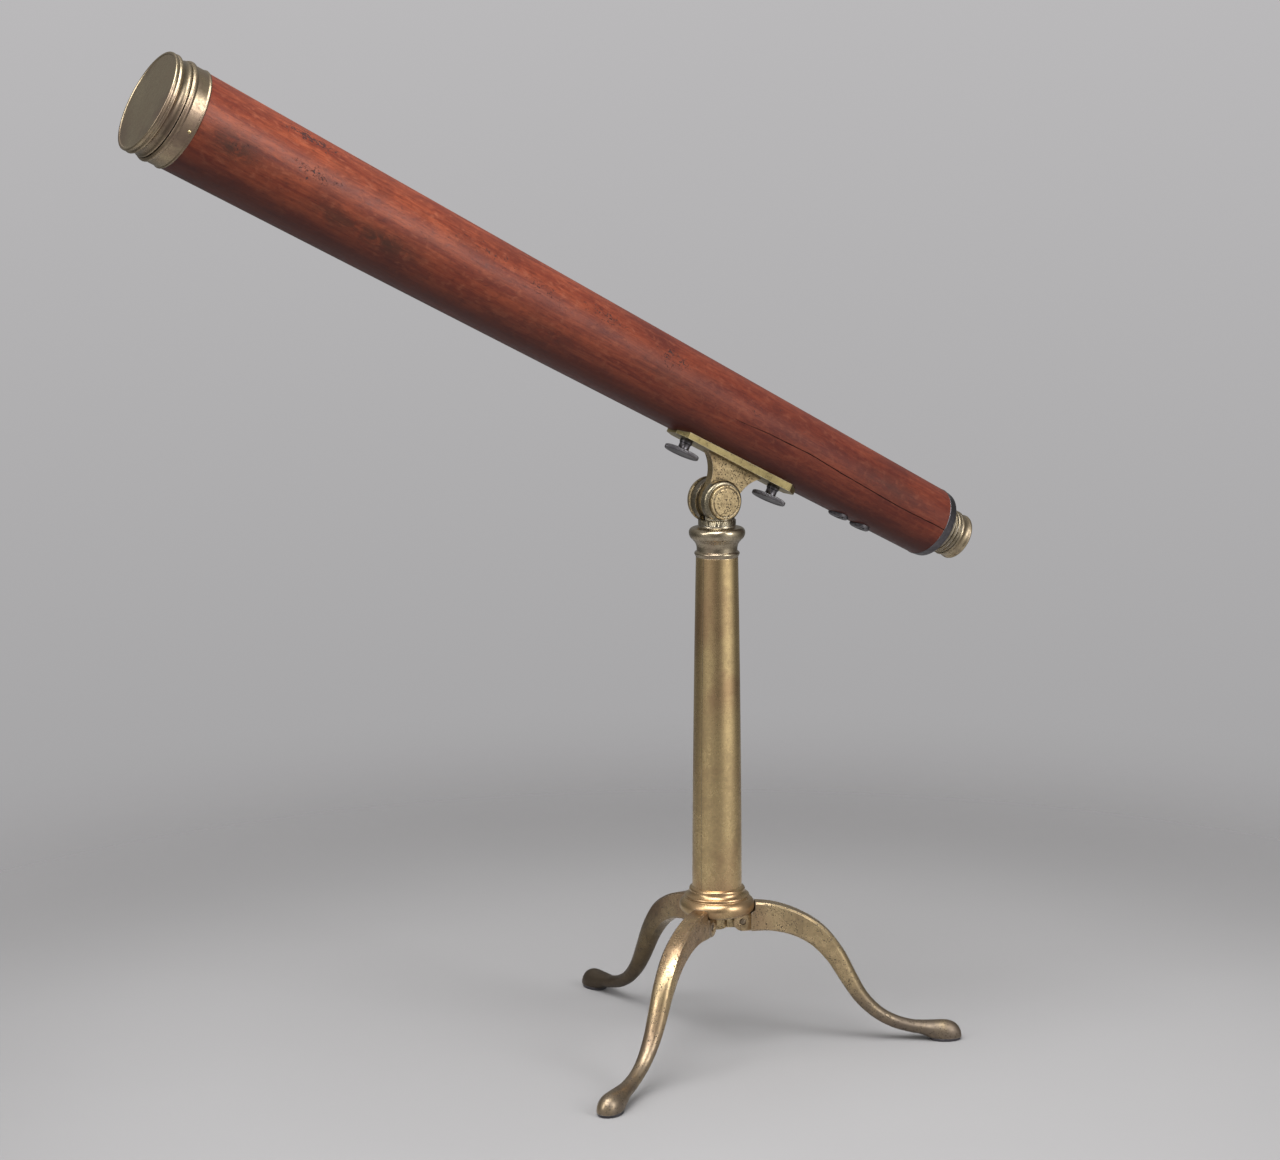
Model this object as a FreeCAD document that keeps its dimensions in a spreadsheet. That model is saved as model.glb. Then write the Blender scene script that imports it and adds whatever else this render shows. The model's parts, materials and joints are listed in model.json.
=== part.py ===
import FreeCAD, Part
import math
import os
import re

import Sketcher
from FreeCAD import Placement, Rotation, Vector

# A library telescope: a tapered mahogany barrel with brass ends, carried by a tilting
# bracket on a turned brass pillar with three folding legs.
#
# Row frame: millimetres, +Z up, origin on the pillar's axis at the level of the feet.
# The tube lies in the XZ plane and points towards -X, raised by tube_elevation.
#
# Tube frame: Z runs along the tube from the eyepiece's lip to the dust cap, X is the
# tube's upper side, and the origin is on the tube's axis at the eyepiece's lip.

DRIVING_SIZES = [
    # Stand
    ("foot_circle", 184.5, "radius of the circle through the middles of the feet"),
    ("foot_length", 26.6, "foot, along its leg"),
    ("foot_width", 19.4, "foot, across its leg"),
    ("sole_thickness", 2.4, "sole under each foot"),
    ("sole_inset", 0.5, "how far the sole stands back from the foot's edge"),
    ("first_leg_azimuth", -26.8, "direction of the right leg, in degrees from +X"),
    ("leg_shoulder", 27.2, "distance of the leg's square shoulder from the pillar's axis"),
    ("fork_width", 12.0, "leg's fork, across both ears"),
    ("fork_radius", 7.5, "rounded end of the fork's ears"),
    ("fork_slot", 5.3, "slot between the ears"),
    ("fork_slot_end", 28.6, "how far out the slot reaches"),
    ("hinge_circle", 20.2, "distance of the leg hinges from the pillar's axis"),
    ("hinge_height", 102.0, "height of the leg hinges"),
    ("hinge_pin_radius", 2.5, "leg hinge pin"),
    ("running_gap", 0.05, "radial clearance of a pin or shaft that turns"),
    ("parting_gap", 0.3, "clearance between other pieces that move past each other"),
    ("hub_tongue", 5.0, "thickness of the hub's tongues"),
    ("hub_tongue_radius", 5.4, "rounded end of the hub's tongues"),
    ("hub_tongue_root", 4.0, "where the tongues begin, inside the post"),
    ("hub_post_radius", 8.2, "post in the middle of the hub"),
    ("hub_post_bottom", 96.4, "underside of the hub's post"),
    ("hub_post_top", 121.0, "top of the post, inside the moulding"),
    ("moulding_bottom", 109.9, "underside of the base moulding"),
    ("moulding_radius", 30.0, "largest radius of the base moulding"),
    ("moulding_seat_radius", 26.0, "flat underside of the base moulding"),
    ("moulding_step_radius", 25.6, "step over its large bulge"),
    ("moulding_neck_radius", 22.0, "narrow part under its upper ring"),
    ("moulding_socket", 122.0, "floor of the socket that the pillar stands in"),
    ("moulding_top", 131.4, "top of the base moulding"),
    ("pillar_foot_radius", 19.75, "pillar, at its lower end"),
    ("pillar_head_radius", 16.6, "pillar, at its upper end"),
    ("pillar_entasis", 19000.0, "radius of the pillar's slight swelling, seen from the side"),
    ("pillar_wall", 1.8, "wall of the pillar's tube"),
    ("pillar_top", 396.0, "top of the pillar's tube"),
    ("capital_plug_length", 11.0, "part of the capital inside the pillar"),
    ("capital_top", 421.2, "top of the capital"),
    ("capital_radius", 22.1, "largest radius of the capital"),
    ("capital_seat_radius", 14.6, "raised flat that the head turns on"),
    ("capital_shoulder_radius", 19.4, "edge of the capital's sloping top"),
    ("capital_step_radius", 19.2, "step between the capital's two bulges"),
    ("capital_waist", 16.0, "radius of the capital's waist"),
    ("capital_ring_radius", 17.2, "ring at the pillar's upper end"),
    # Knuckle joint on top of the pillar
    ("pivot_height", 440.0, "height of the tilting axis"),
    ("neck_radius", 14.8, "round neck under the knuckle's cheeks"),
    ("neck_disc_height", 4.2, "height of the neck's disc over the capital"),
    ("neck_end_drop", 8.0, "where the neck ends, below the tilting axis"),
    ("stub_radius", 9.0, "stub that turns in the capital"),
    ("stub_bottom", 405.2, "lower end of the stub"),
    ("spindle_radius", 5.0, "spindle screwed into the stub"),
    ("spindle_bottom", 374.0, "lower end of the spindle"),
    ("spindle_top", 417.0, "upper end of the spindle, in the stub"),
    ("spindle_nut_radius", 9.5, "nut that keeps the spindle in the capital"),
    ("spindle_nut_height", 7.0, "height of that nut"),
    ("cheek_gap", 8.3, "gap between the cheeks"),
    ("near_cheek_radius", 17.0, "cheek on the -Y side"),
    ("near_cheek_face", 11.0, "outer face of that cheek, from the middle"),
    ("near_cheek_round", 3.2, "rounding of that cheek's edge"),
    ("near_boss_radius", 13.6, "flat boss on that cheek"),
    ("near_boss_face", 14.3, "face of the boss, from the middle"),
    ("far_cheek_radius", 17.4, "cheek on the +Y side"),
    ("far_cheek_face", 11.8, "outer face of that cheek, from the middle"),
    ("far_cheek_round", 2.0, "rounding of that cheek's edge"),
    ("tongue_room", 0.6, "space between the tongue's round end and the knuckle"),
    ("gap_floor_drop", 14.0, "floor of the wide gap, below the tilting axis"),
    ("clamp_screw_radius", 5.0, "shank of the clamp screw"),
    ("clamp_head_radius", 18.0, "domed head of the clamp screw"),
    ("clamp_head_rim", 14.2, "edge of the head, from the middle"),
    ("clamp_head_top", 22.2, "top of the dome, from the middle"),
    ("clamp_slot_width", 2.6, "screwdriver slot in the head"),
    ("clamp_slot_depth", 3.2, "depth of that slot"),
    # Bracket between the knuckle and the barrel
    ("tube_elevation", 27.3, "angle of the tube above level, in degrees"),
    ("axis_offset", 64.5, "distance of the tube's axis above the tilting axis"),
    ("pivot_station", 225.5, "place of the tilting axis along the tube"),
    ("tongue_thickness", 8.0, "tongue and web"),
    ("tongue_radius", 15.0, "round end of the tongue"),
    ("web_half_length", 29.0, "web, where it meets the plate"),
    ("web_flare", 27.5, "radius of the web's hollow sides"),
    ("web_blend_rise", 4.0, "height over the tilting axis where the hollow sides begin"),
    ("plate_level", 33.6, "distance of the plate's underside from the tube's axis"),
    ("plate_length", 121.0, "saddle plate, along the tube"),
    ("plate_blank_height", 10.0, "saddle plate, before it is hollowed for the barrel"),
    ("plate_width", 26.0, "saddle plate, across"),
    ("plate_corner_along", 8.6, "cut corner of the plate, along the tube"),
    ("plate_corner_across", 6.0, "cut corner of the plate, across"),
    ("plate_hole_radius", 3.4, "thumbscrew holes in the plate"),
    ("thumbscrew_spacing", 89.5, "distance between the two thumbscrews"),
    ("thumbscrew_middle", 227.5, "place of their middle along the tube"),
    ("thumbscrew_shank_radius", 3.0, "threaded shank"),
    ("thumbscrew_collar_radius", 5.0, "collar between plate and head"),
    ("thumbscrew_head_radius", 14.0, "flat knurled head"),
    ("thumbscrew_head_level", 42.0, "upper side of the head, from the tube's axis"),
    ("thumbscrew_head_thickness", 3.2, "thickness of the head"),
    ("thumbscrew_tip_level", 24.4, "end of the shank, from the tube's axis"),
    ("bush_radius", 5.5, "threaded bushes let into the barrel"),
    ("bush_outer_level", 29.4, "outer end of the bushes, from the tube's axis"),
    ("bush_inner_level", 25.6, "inner end of the bushes, from the tube's axis"),
    # Barrel
    ("barrel_start", 29.1, "wood's end, inside the eye ferrule"),
    ("barrel_shoulder_eye", 34.3, "edge of the bare wood, eye end"),
    ("barrel_shoulder_front", 744.8, "edge of the bare wood, objective end"),
    ("barrel_end", 752.0, "wood's end, inside the objective ferrule"),
    ("barrel_radius_eye", 28.6, "outside of the wood, eye end"),
    ("barrel_radius_front", 36.8, "outside of the wood, objective end"),
    ("barrel_bore_eye", 24.1, "bore of the wood, eye end"),
    ("barrel_bore_front", 32.3, "bore of the wood, objective end"),
    ("spigot_radius_eye", 26.7, "wood inside the eye ferrule"),
    ("spigot_radius_front", 34.4, "wood inside the objective ferrule"),
    # Objective end
    ("ferrule_radius", 37.2, "plain band of the objective ferrule"),
    ("ferrule_end", 760.0, "face of the objective ferrule"),
    ("ferrule_pin_radius", 1.3, "pins that hold the ferrule on the wood"),
    ("ferrule_pin_station", 749.0, "place of those pins along the tube"),
    ("ferrule_pin_depth", 1.6, "how deep those pins go into the wood"),
    ("ferrule_pin_rise", 0.5, "how far their heads stand out"),
    ("ferrule_pin_azimuth", -107.8, "first of those pins, in degrees from the upper side"),
    ("cell_radius", 33.2, "objective cell's thread and its spigot for the cap"),
    ("cell_start", 738.0, "inner end of the objective cell"),
    ("cell_end", 766.0, "mouth of the objective cell"),
    ("cell_bore", 31.0, "seat of the object lenses"),
    ("cell_stop_radius", 29.4, "opening of the cell's stop and of its retaining ring"),
    ("lens_seat", 745.0, "place of the lens seat along the tube"),
    ("lens_curve", 400.0, "radius of the object lenses' curved faces"),
    ("lens_joint", 750.3, "edge where crown and flint meet"),
    ("lens_front", 754.9, "front edge of the crown lens"),
    ("retaining_ring_lift", 0.15, "retaining ring over the crown's front edge"),
    ("retaining_ring_width", 2.5, "retaining ring, along the tube"),
    ("cap_bore", 33.5, "inside of the dust cap"),
    ("cap_start", 760.5, "open edge of the dust cap"),
    ("cap_waist_end", 767.7, "end of the cap's hollow waist"),
    ("cap_rim_radius", 37.6, "rim of the dust cap"),
    ("cap_face", 773.8, "face of the dust cap"),
    ("cap_thickness", 1.4, "thickness of the cap's face"),
    # Eye end
    ("eye_ferrule_face", 26.3, "end face of the eye ferrule"),
    ("eye_ferrule_edge", 28.9, "eye ferrule, at the wood"),
    ("eye_ferrule_rim", 27.8, "eye ferrule, at its end face"),
    ("sleeve_bore", 18.3, "sleeve that guides the draw tube"),
    ("sleeve_radius", 19.4, "outside of that sleeve"),
    ("sleeve_end", 165.0, "inner end of that sleeve"),
    ("collar_start", 86.0, "wooden collar between sleeve and barrel, eye side"),
    ("collar_end", 123.0, "wooden collar, objective side"),
    ("sleeve_screw_station_a", 92.8, "place of the first screw into that collar"),
    ("sleeve_screw_station_b", 115.8, "place of the second screw"),
    ("sleeve_screw_radius", 2.4, "shank of those screws"),
    ("sleeve_screw_head_radius", 8.5, "head of those screws"),
    ("sleeve_screw_seat", 28.0, "seat of the heads, from the tube's axis"),
    ("sleeve_screw_top", 31.9, "top of the heads, from the tube's axis"),
    ("sleeve_screw_slot_width", 1.8, "slot in those heads"),
    ("sleeve_screw_slot_depth", 1.1, "depth of that slot"),
    ("draw_tube_radius", 18.25, "outside of the draw tube"),
    ("draw_tube_bore", 17.45, "inside of the draw tube"),
    ("draw_tube_start", 12.0, "draw tube's end inside the eyecup"),
    ("draw_tube_end", 236.0, "draw tube's inner end"),
    ("eyecup_radius", 19.3, "outside of the eyecup"),
    ("eyecup_groove_radius", 18.3, "bottom of the eyecup's reeding"),
    ("eyecup_end", 26.0, "eyecup's inner end"),
    ("eyecup_floor", 4.4, "inner side of the eyecup's front wall"),
    ("eyecup_first_groove", 10.8, "where the reeding begins"),
    ("eyecup_groove_pitch", 3.7, "distance from groove to groove"),
    ("eyecup_groove_width", 1.5, "width of a groove"),
    ("eyehole_radius", 6.2, "hole to look through"),
    ("eyepiece_bore", 11.6, "inside of the eyepiece's tube"),
    ("eyepiece_radius", 12.6, "outside of the eyepiece's tube"),
    ("eyepiece_tube_start", 4.6, "eyepiece tube, outer end"),
    ("eyepiece_tube_end", 62.0, "eyepiece tube, inner end"),
    ("eye_lens_face", 6.0, "flat face of the eye lens"),
    ("eye_lens_edge", 1.4, "edge thickness of the eye lens"),
    ("eye_lens_curve", 30.0, "radius of its curved face"),
    ("field_lens_face", 54.0, "flat face of the field lens"),
    ("field_lens_edge", 1.6, "edge thickness of the field lens"),
    ("field_lens_curve", 38.0, "radius of its curved face"),
    ("field_stop_start", 30.0, "place of the field stop"),
    ("field_stop_opening", 5.0, "radius of the field stop's opening"),
    ("erector_bore", 9.0, "inside of the erector's tube"),
    ("erector_radius", 10.0, "outside of the erector's tube"),
    ("erector_tube_start", 142.0, "erector tube, eye side"),
    ("erector_tube_end", 232.0, "erector tube, objective side"),
    ("erector_lens_inset", 2.0, "flat faces of the erector lenses, from the tube's ends"),
    ("erector_lens_edge", 1.4, "edge thickness of the erector lenses"),
    ("erector_lens_curve", 34.0, "radius of their curved faces"),
    ("erector_stop_start", 186.0, "place of the erector's stop"),
    ("erector_stop_opening", 2.0, "radius of that stop's opening"),
    ("stop_thickness", 1.4, "thickness of both stops"),
    ("lens_collar_inset", 9.5, "collars of both tubes, from the tubes' ends"),
    ("lens_collar_length", 6.0, "length of those collars"),
    ("lens_gap", 0.05, "looseness of the small lenses in their tubes"),
]

DOC = FreeCAD.newDocument("LibraryTelescope")
ORIGIN = Vector(0, 0, 0)
OUTWARD, INWARD, UPWARD, DOWNWARD = Vector(1, 0), Vector(-1, 0), Vector(0, 1), Vector(0, -1)
NODES = []


def fill_sheet(rows):
    sheet = DOC.addObject("Spreadsheet::Sheet", "Sizes")
    for number, (alias, value, meaning) in enumerate(rows, start=1):
        sheet.set(f"A{number}", meaning)
        sheet.set(f"B{number}", str(value))
        sheet.setAlias(f"B{number}", alias)
    DOC.recompute()
    return sheet


SHEET = fill_sheet(DRIVING_SIZES)


def formula(text):
    """The expression for text such as 'cap_face - cap_thickness'."""
    return re.sub(r"(?!sqrt)\b[a-z][a-z_]+", lambda name: "Sizes." + name.group(), str(text))


def size(text):
    """The value of such a formula."""
    return float(SHEET.evalExpression(formula(text)))


def keep(thing, label, placement=None):
    """Make thing a node of the row, under this name."""
    thing.Label = label
    if placement is not None:
        thing.Placement = placement
    NODES.append(thing)
    return thing


# Outlines. A corner is (across, up) or (across, up, side, radius): the last two make the
# run that ends at that corner an arc, bulging to that side.


def arc_between(start, end, side, radius):
    chord = end - start
    rise = radius - math.sqrt(max(radius**2 - (chord.Length / 2) ** 2, 0))
    normal = Vector(-chord.y, chord.x).normalize()
    if normal.dot(side) < 0:
        normal = -normal
    return Part.Arc(start, (start + end) / 2 + normal * rise, end)


def pin_point(sketch, curve, point, corner):
    """Tie one end of a curve to its corner's two formulas."""
    end = 1 if (sketch.getPoint(curve, 1) - point).Length < 1e-6 else 2
    for text, kind, axis in ((corner[0], "DistanceX", -2), (corner[1], "DistanceY", -1)):
        if str(text) == "0":
            sketch.addConstraint(Sketcher.Constraint("PointOnObject", curve, end, axis))
            continue
        rule = Sketcher.Constraint(kind, -1, 1, curve, end, size(text))
        number = sketch.addConstraint(rule)
        sketch.setExpression(f"Constraints[{number}]", formula(text))
    return end


def draw_outline(body, plane, corners, offset="0"):
    """A closed sketch on one of the body's own planes."""
    sketch = body.newObject("Sketcher::SketchObject", "Outline")
    support = [face for face in body.Origin.OriginFeatures if face.Role == plane][0]
    sketch.AttachmentSupport = [(support, "")]
    sketch.MapMode = "FlatFace"
    sketch.setExpression(".AttachmentOffset.Base.z", formula(offset))
    points = [Vector(size(corner[0]), size(corner[1])) for corner in corners]
    curves = []
    for index, corner in enumerate(corners):
        start, end = points[index - 1], points[index]
        if len(corner) > 2:
            curves.append(arc_between(start, end, corner[2], size(corner[3])))
        else:
            curves.append(Part.LineSegment(start, end))
    sketch.addGeometry(curves, False)
    ends = [pin_point(sketch, i, points[i], corner) for i, corner in enumerate(corners)]
    for index, corner in enumerate(corners):
        following = (index + 1) % len(corners)
        start = 3 - ends[following]
        joint = Sketcher.Constraint("Coincident", index, ends[index], following, start)
        sketch.addConstraint(joint)
        if len(corner) > 2:
            rule = Sketcher.Constraint("Radius", index, size(corner[3]))
            number = sketch.addConstraint(rule)
            sketch.setExpression(f"Constraints[{number}]", formula(corner[3]))
    sketch.Visibility = False
    return sketch


def circle_sketch(body, plane, centre, radius, offset="0"):
    sketch = body.newObject("Sketcher::SketchObject", "Round")
    support = [face for face in body.Origin.OriginFeatures if face.Role == plane][0]
    sketch.AttachmentSupport = [(support, "")]
    sketch.MapMode = "FlatFace"
    sketch.setExpression(".AttachmentOffset.Base.z", formula(offset))
    middle = Vector(size(centre[0]), size(centre[1]))
    sketch.addGeometry([Part.Circle(middle, Vector(0, 0, 1), size(radius))], False)
    for text, kind, axis in ((centre[0], "DistanceX", -2), (centre[1], "DistanceY", -1)):
        if str(text) == "0":
            sketch.addConstraint(Sketcher.Constraint("PointOnObject", 0, 3, axis))
            continue
        number = sketch.addConstraint(Sketcher.Constraint(kind, -1, 1, 0, 3, size(text)))
        sketch.setExpression(f"Constraints[{number}]", formula(text))
    number = sketch.addConstraint(Sketcher.Constraint("Radius", 0, size(radius)))
    sketch.setExpression(f"Constraints[{number}]", formula(radius))
    return sketch


def turned(name, corners):
    """A body turned about its own Z axis from an outline of (radius, height) corners."""
    body = DOC.addObject("PartDesign::Body", name)
    feature = body.newObject("PartDesign::Revolution", "Turning")
    sketch = draw_outline(body, "XZ_Plane", corners)
    feature.Profile = sketch
    feature.ReferenceAxis = (sketch, ["V_Axis"])
    feature.Angle = 360
    body.Tip = feature
    return body


def plate(name, plane, corners, thickness, centred=True, offset="0"):
    """A body of even thickness from an outline on one of its planes."""
    body = DOC.addObject("PartDesign::Body", name)
    feature = body.newObject("PartDesign::Pad", "Plate")
    feature.Profile = draw_outline(body, plane, corners, offset)
    feature.setExpression("Length", formula(thickness))
    feature.Midplane = centred
    body.Tip = feature
    return body


def rod(name, radius, length, placement=None):
    """A plain cylinder along its own Z axis."""
    cylinder = DOC.addObject("Part::Cylinder", name)
    cylinder.setExpression("Radius", formula(radius))
    cylinder.setExpression("Height", formula(length))
    if placement is not None:
        cylinder.Placement = placement
    return cylinder


def fused(name, things):
    union = DOC.addObject("Part::MultiFuse", name)
    union.Shapes = things
    return union


def cut_from(name, base, tool):
    difference = DOC.addObject("Part::Cut", name)
    difference.Base = base
    difference.Tool = tool
    return difference


def group(name, things):
    compound = DOC.addObject("Part::Compound", name)
    compound.Links = things
    return compound


def spin(axis, degrees, base=ORIGIN):
    return Placement(base, Rotation(axis, degrees))


X_AXIS, Y_AXIS, Z_AXIS = Vector(1, 0, 0), Vector(0, 1, 0), Vector(0, 0, 1)

# Places

LEG_AZIMUTHS = {
    "right": size("first_leg_azimuth"),
    "rear": size("first_leg_azimuth") + 120,
    "left": size("first_leg_azimuth") - 120,
}
PIVOT = Vector(0, 0, size("pivot_height"))
TUBE_TURN = Rotation(Y_AXIS, size("tube_elevation") - 90)
TUBE = Placement(PIVOT, TUBE_TURN) * Placement(
    Vector(size("axis_offset"), 0, -size("pivot_station")), Rotation()
)


def under_tube(station):
    """Where a piece stands whose own Z axis points straight down from the tube's axis."""
    return spin(Y_AXIS, -90, Vector(0, 0, size(station)))


# Stand


def make_pillar():
    tube = turned("Pillar", [
        ("pillar_foot_radius - pillar_wall", "moulding_socket"),
        ("pillar_foot_radius", "moulding_socket"),
        ("pillar_head_radius", "pillar_top", OUTWARD, "pillar_entasis"),
        ("pillar_head_radius - pillar_wall", "pillar_top"),
        ("pillar_head_radius - pillar_wall", "pillar_top - capital_plug_length"),
    ])
    keep(tube, "pillar_tube")
    capital = turned("Capital", [
        ("stub_radius + running_gap", "capital_top"),
        ("capital_seat_radius", "capital_top"),
        ("capital_seat_radius + 0.3", "capital_top - 1.2"),
        ("capital_shoulder_radius", "capital_top - 2"),
        ("capital_radius", "capital_top - 5.8", OUTWARD, "4"),
        ("capital_step_radius", "capital_top - 11.4", OUTWARD, "6.4"),
        ("capital_waist", "capital_top - 18.2", INWARD, "8.5"),
        ("capital_waist", "pillar_top + 4.6"),
        ("capital_ring_radius", "pillar_top + 4.2"),
        ("capital_ring_radius", "pillar_top + 1.6", OUTWARD, "1.5"),
        ("pillar_head_radius", "pillar_top"),
        ("pillar_head_radius - pillar_wall", "pillar_top"),
        ("pillar_head_radius - pillar_wall", "pillar_top - capital_plug_length"),
        ("spindle_radius + running_gap", "pillar_top - capital_plug_length"),
        ("spindle_radius + running_gap", "stub_bottom - parting_gap"),
        ("stub_radius + running_gap", "stub_bottom - parting_gap"),
    ])
    keep(capital, "pillar_capital")
    moulding = turned("Moulding", [
        ("hub_post_radius", "moulding_bottom"),
        ("moulding_seat_radius", "moulding_bottom"),
        ("moulding_radius", "moulding_bottom + 5.9", OUTWARD, "6.4"),
        ("moulding_step_radius", "moulding_bottom + 12.4", OUTWARD, "6.6"),
        ("moulding_step_radius + 0.3", "moulding_bottom + 13.6"),
        ("moulding_step_radius", "moulding_bottom + 14.6"),
        ("moulding_neck_radius", "moulding_bottom + 18", INWARD, "4.6"),
        ("moulding_neck_radius - 0.6", "moulding_top - 0.9", OUTWARD, "2.2"),
        ("pillar_foot_radius", "moulding_top"),
        ("pillar_foot_radius", "moulding_socket"),
        ("hub_post_radius", "moulding_socket"),
    ])
    keep(moulding, "base_moulding")


def make_hub():
    """The post under the moulding, with a tongue for each leg's fork."""
    body = turned("Hub", [
        ("0", "hub_post_bottom"),
        ("hub_post_radius - 1", "hub_post_bottom"),
        ("hub_post_radius", "hub_post_bottom + 1"),
        ("hub_post_radius", "hub_post_top"),
        ("0", "hub_post_top"),
    ])
    tongue = body.newObject("PartDesign::Pad", "Tongue")
    tongue.Profile = draw_outline(body, "XZ_Plane", [
        ("hub_tongue_root", "hinge_height - hub_tongue_radius"),
        ("hinge_circle", "hinge_height - hub_tongue_radius"),
        ("hinge_circle + hub_tongue_radius", "hinge_height", OUTWARD, "hub_tongue_radius"),
        ("hinge_circle", "hinge_height + hub_tongue_radius", OUTWARD, "hub_tongue_radius"),
        ("hub_tongue_root", "hinge_height + hub_tongue_radius"),
    ])
    tongue.setExpression("Length", formula("hub_tongue"))
    tongue.Midplane = True
    eye = body.newObject("PartDesign::Pocket", "PinHole")
    eye.Profile = circle_sketch(
        body, "XZ_Plane", ("hinge_circle", "hinge_height"), "hinge_pin_radius"
    )
    eye.setExpression("Length", formula("hub_tongue * 2"))
    eye.Midplane = True
    around = body.newObject("PartDesign::PolarPattern", "ThreeTongues")
    around.Originals = [tongue, eye]
    around.Axis = (body.Origin.OriginFeatures[2], [""])
    around.Angle = 360
    around.Occurrences = 3
    body.Tip = around
    keep(body, "leg_hub", spin(Z_AXIS, LEG_AZIMUTHS["right"]))
    pins = []
    for azimuth in LEG_AZIMUTHS.values():
        pin = rod("HingePin", "hinge_pin_radius", "fork_width")
        middle = Vector(size("hinge_circle"), size("fork_width") / 2, size("hinge_height"))
        pin.Placement = spin(Z_AXIS, azimuth) * spin(X_AXIS, 90, middle)
        pins.append(pin)
    keep(group("HingePins", pins), "leg_hinge_pins")


# A leg from its root to its toe: distance from the pillar's axis, height, half its depth,
# half its width, and how square its section is (2 is round).
LEG_STATIONS = [
    (27.2, 106.0, 11.9, 6.4, 9.0),
    (44.0, 105.0, 10.9, 6.6, 8.0),
    (62.8, 99.5, 9.7, 7.1, 6.5),
    (80.4, 88.9, 9.1, 7.7, 4.6),
    (94.9, 72.2, 8.1, 8.0, 3.4),
    (105.8, 53.4, 7.1, 7.8, 2.7),
    (116.3, 36.7, 6.1, 7.0, 2.4),
    (129.2, 23.8, 5.4, 6.1, 2.2),
    (142.8, 15.9, 5.2, 5.7, 2.2),
    (156.6, 11.6, 5.2, 6.3, 2.2),
    (166.0, 10.1, 5.8, 7.4, 2.2),
    (175.0, 7.6, 8.2, 8.9, 2.2),
    (184.5, 5.0, 10.9, 9.6, 2.2),
    (190.5, 4.0, 10.4, 8.7, 2.2),
    (194.6, 3.4, 8.1, 6.6, 2.2),
    (197.0, 3.0, 4.6, 3.9, 2.2),
    (197.8, 2.8, 1.2, 1.2, 2.2),
]
FOOT_BEGINS = 160.0
SECTION_POINTS = 20


def leg_section(station, heading):
    """A rounded rectangle across the leg, as one closed curve."""
    distance, height, depth, width, square = station
    upright = Vector(-heading.z, 0, heading.x)
    points = []
    for number in range(SECTION_POINTS):
        turn = 2 * math.pi * (number + 0.5) / SECTION_POINTS
        across, along = math.cos(turn), math.sin(turn)
        reach = (abs(across) ** square + abs(along) ** square) ** (-1 / square)
        sideways = Vector(0, width * reach * across, 0)
        points.append(Vector(distance, 0, height) + sideways + upright * (depth * reach * along))
    curve = Part.BSplineCurve()
    curve.interpolate(points, PeriodicFlag=True)
    return Part.Wire(curve.toShape())


def cast_solid():
    """Limb and foot in one, cut flat where the sole is fixed."""
    sections = []
    for number, station in enumerate(LEG_STATIONS):
        before = LEG_STATIONS[max(number - 1, 0)]
        after = LEG_STATIONS[min(number + 1, len(LEG_STATIONS) - 1)]
        heading = Vector(after[0] - before[0], 0, after[1] - before[1]).normalize()
        if number == 0 or station[0] > FOOT_BEGINS:
            heading = X_AXIS
        sections.append(leg_section(station, heading))
    cast = Part.makeLoft(sections, True, False)
    under, across = 4 * size("sole_thickness"), 2 * size("foot_width")
    corner = Vector(size("foot_circle - foot_width"), -across / 2, size("sole_thickness") - under)
    return cast.cut(Part.makeBox(across, across, under, corner))


def fork_solid():
    """The two ears around the hinge pin, as one block with a round end."""
    radius, across = size("fork_radius"), size("fork_width")
    centre = Vector(size("hinge_circle"), -across / 2, size("hinge_height"))
    round_end = Part.makeCylinder(radius, across, centre, Y_AXIS)
    length = size("leg_shoulder") + 1 - centre.x
    block = Part.makeBox(length, across, 2 * radius, centre - Vector(0, 0, radius))
    return round_end.fuse(block)


def leg_shape():
    """A leg with its foot and fork, pointing along +X."""
    leg = cast_solid().fuse(fork_solid())
    hinge, across = size("hinge_height"), size("fork_width")
    slot_width, slot_height = size("fork_slot"), 8 * size("fork_radius")
    low_corner = Vector(0, -slot_width / 2, hinge - slot_height / 2)
    slot = Part.makeBox(size("fork_slot_end"), slot_width, slot_height, low_corner)
    pin_end = Vector(size("hinge_circle"), -across, hinge)
    pin_radius = size("hinge_pin_radius + running_gap")
    pin_hole = Part.makeCylinder(pin_radius, 2 * across, pin_end, Y_AXIS)
    # Above the ears the root keeps clear of the base moulding.
    room_floor = Vector(0, 0, size("moulding_bottom - parting_gap"))
    room_radius = size("moulding_radius + parting_gap")
    room = Part.makeCylinder(room_radius, size("moulding_radius"), room_floor)
    return leg.cut([slot, pin_hole, room])


def make_sole():
    """A flat oval plate under a foot."""
    rim = DOC.addObject("Part::Ellipse", "SoleRim")
    rim.setExpression("MajorRadius", formula("foot_length / 2 - sole_inset"))
    rim.setExpression("MinorRadius", formula("foot_width / 2 - sole_inset"))
    rim.Placement.Base = Vector(size("foot_circle"), 0, 0)
    sole = DOC.addObject("Part::Extrusion", "Sole")
    sole.Base = rim
    sole.DirMode = "Custom"
    sole.Dir = Z_AXIS
    sole.setExpression("LengthFwd", formula("sole_thickness"))
    sole.Solid = True
    return sole


def make_legs():
    shape = leg_shape()
    for name, azimuth in LEG_AZIMUTHS.items():
        leg = DOC.addObject("Part::Feature", "Leg")
        leg.Shape = shape
        keep(leg, f"leg_{name}", spin(Z_AXIS, azimuth))
        keep(make_sole(), f"foot_sole_{name}", spin(Z_AXIS, azimuth))


# Knuckle joint


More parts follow.
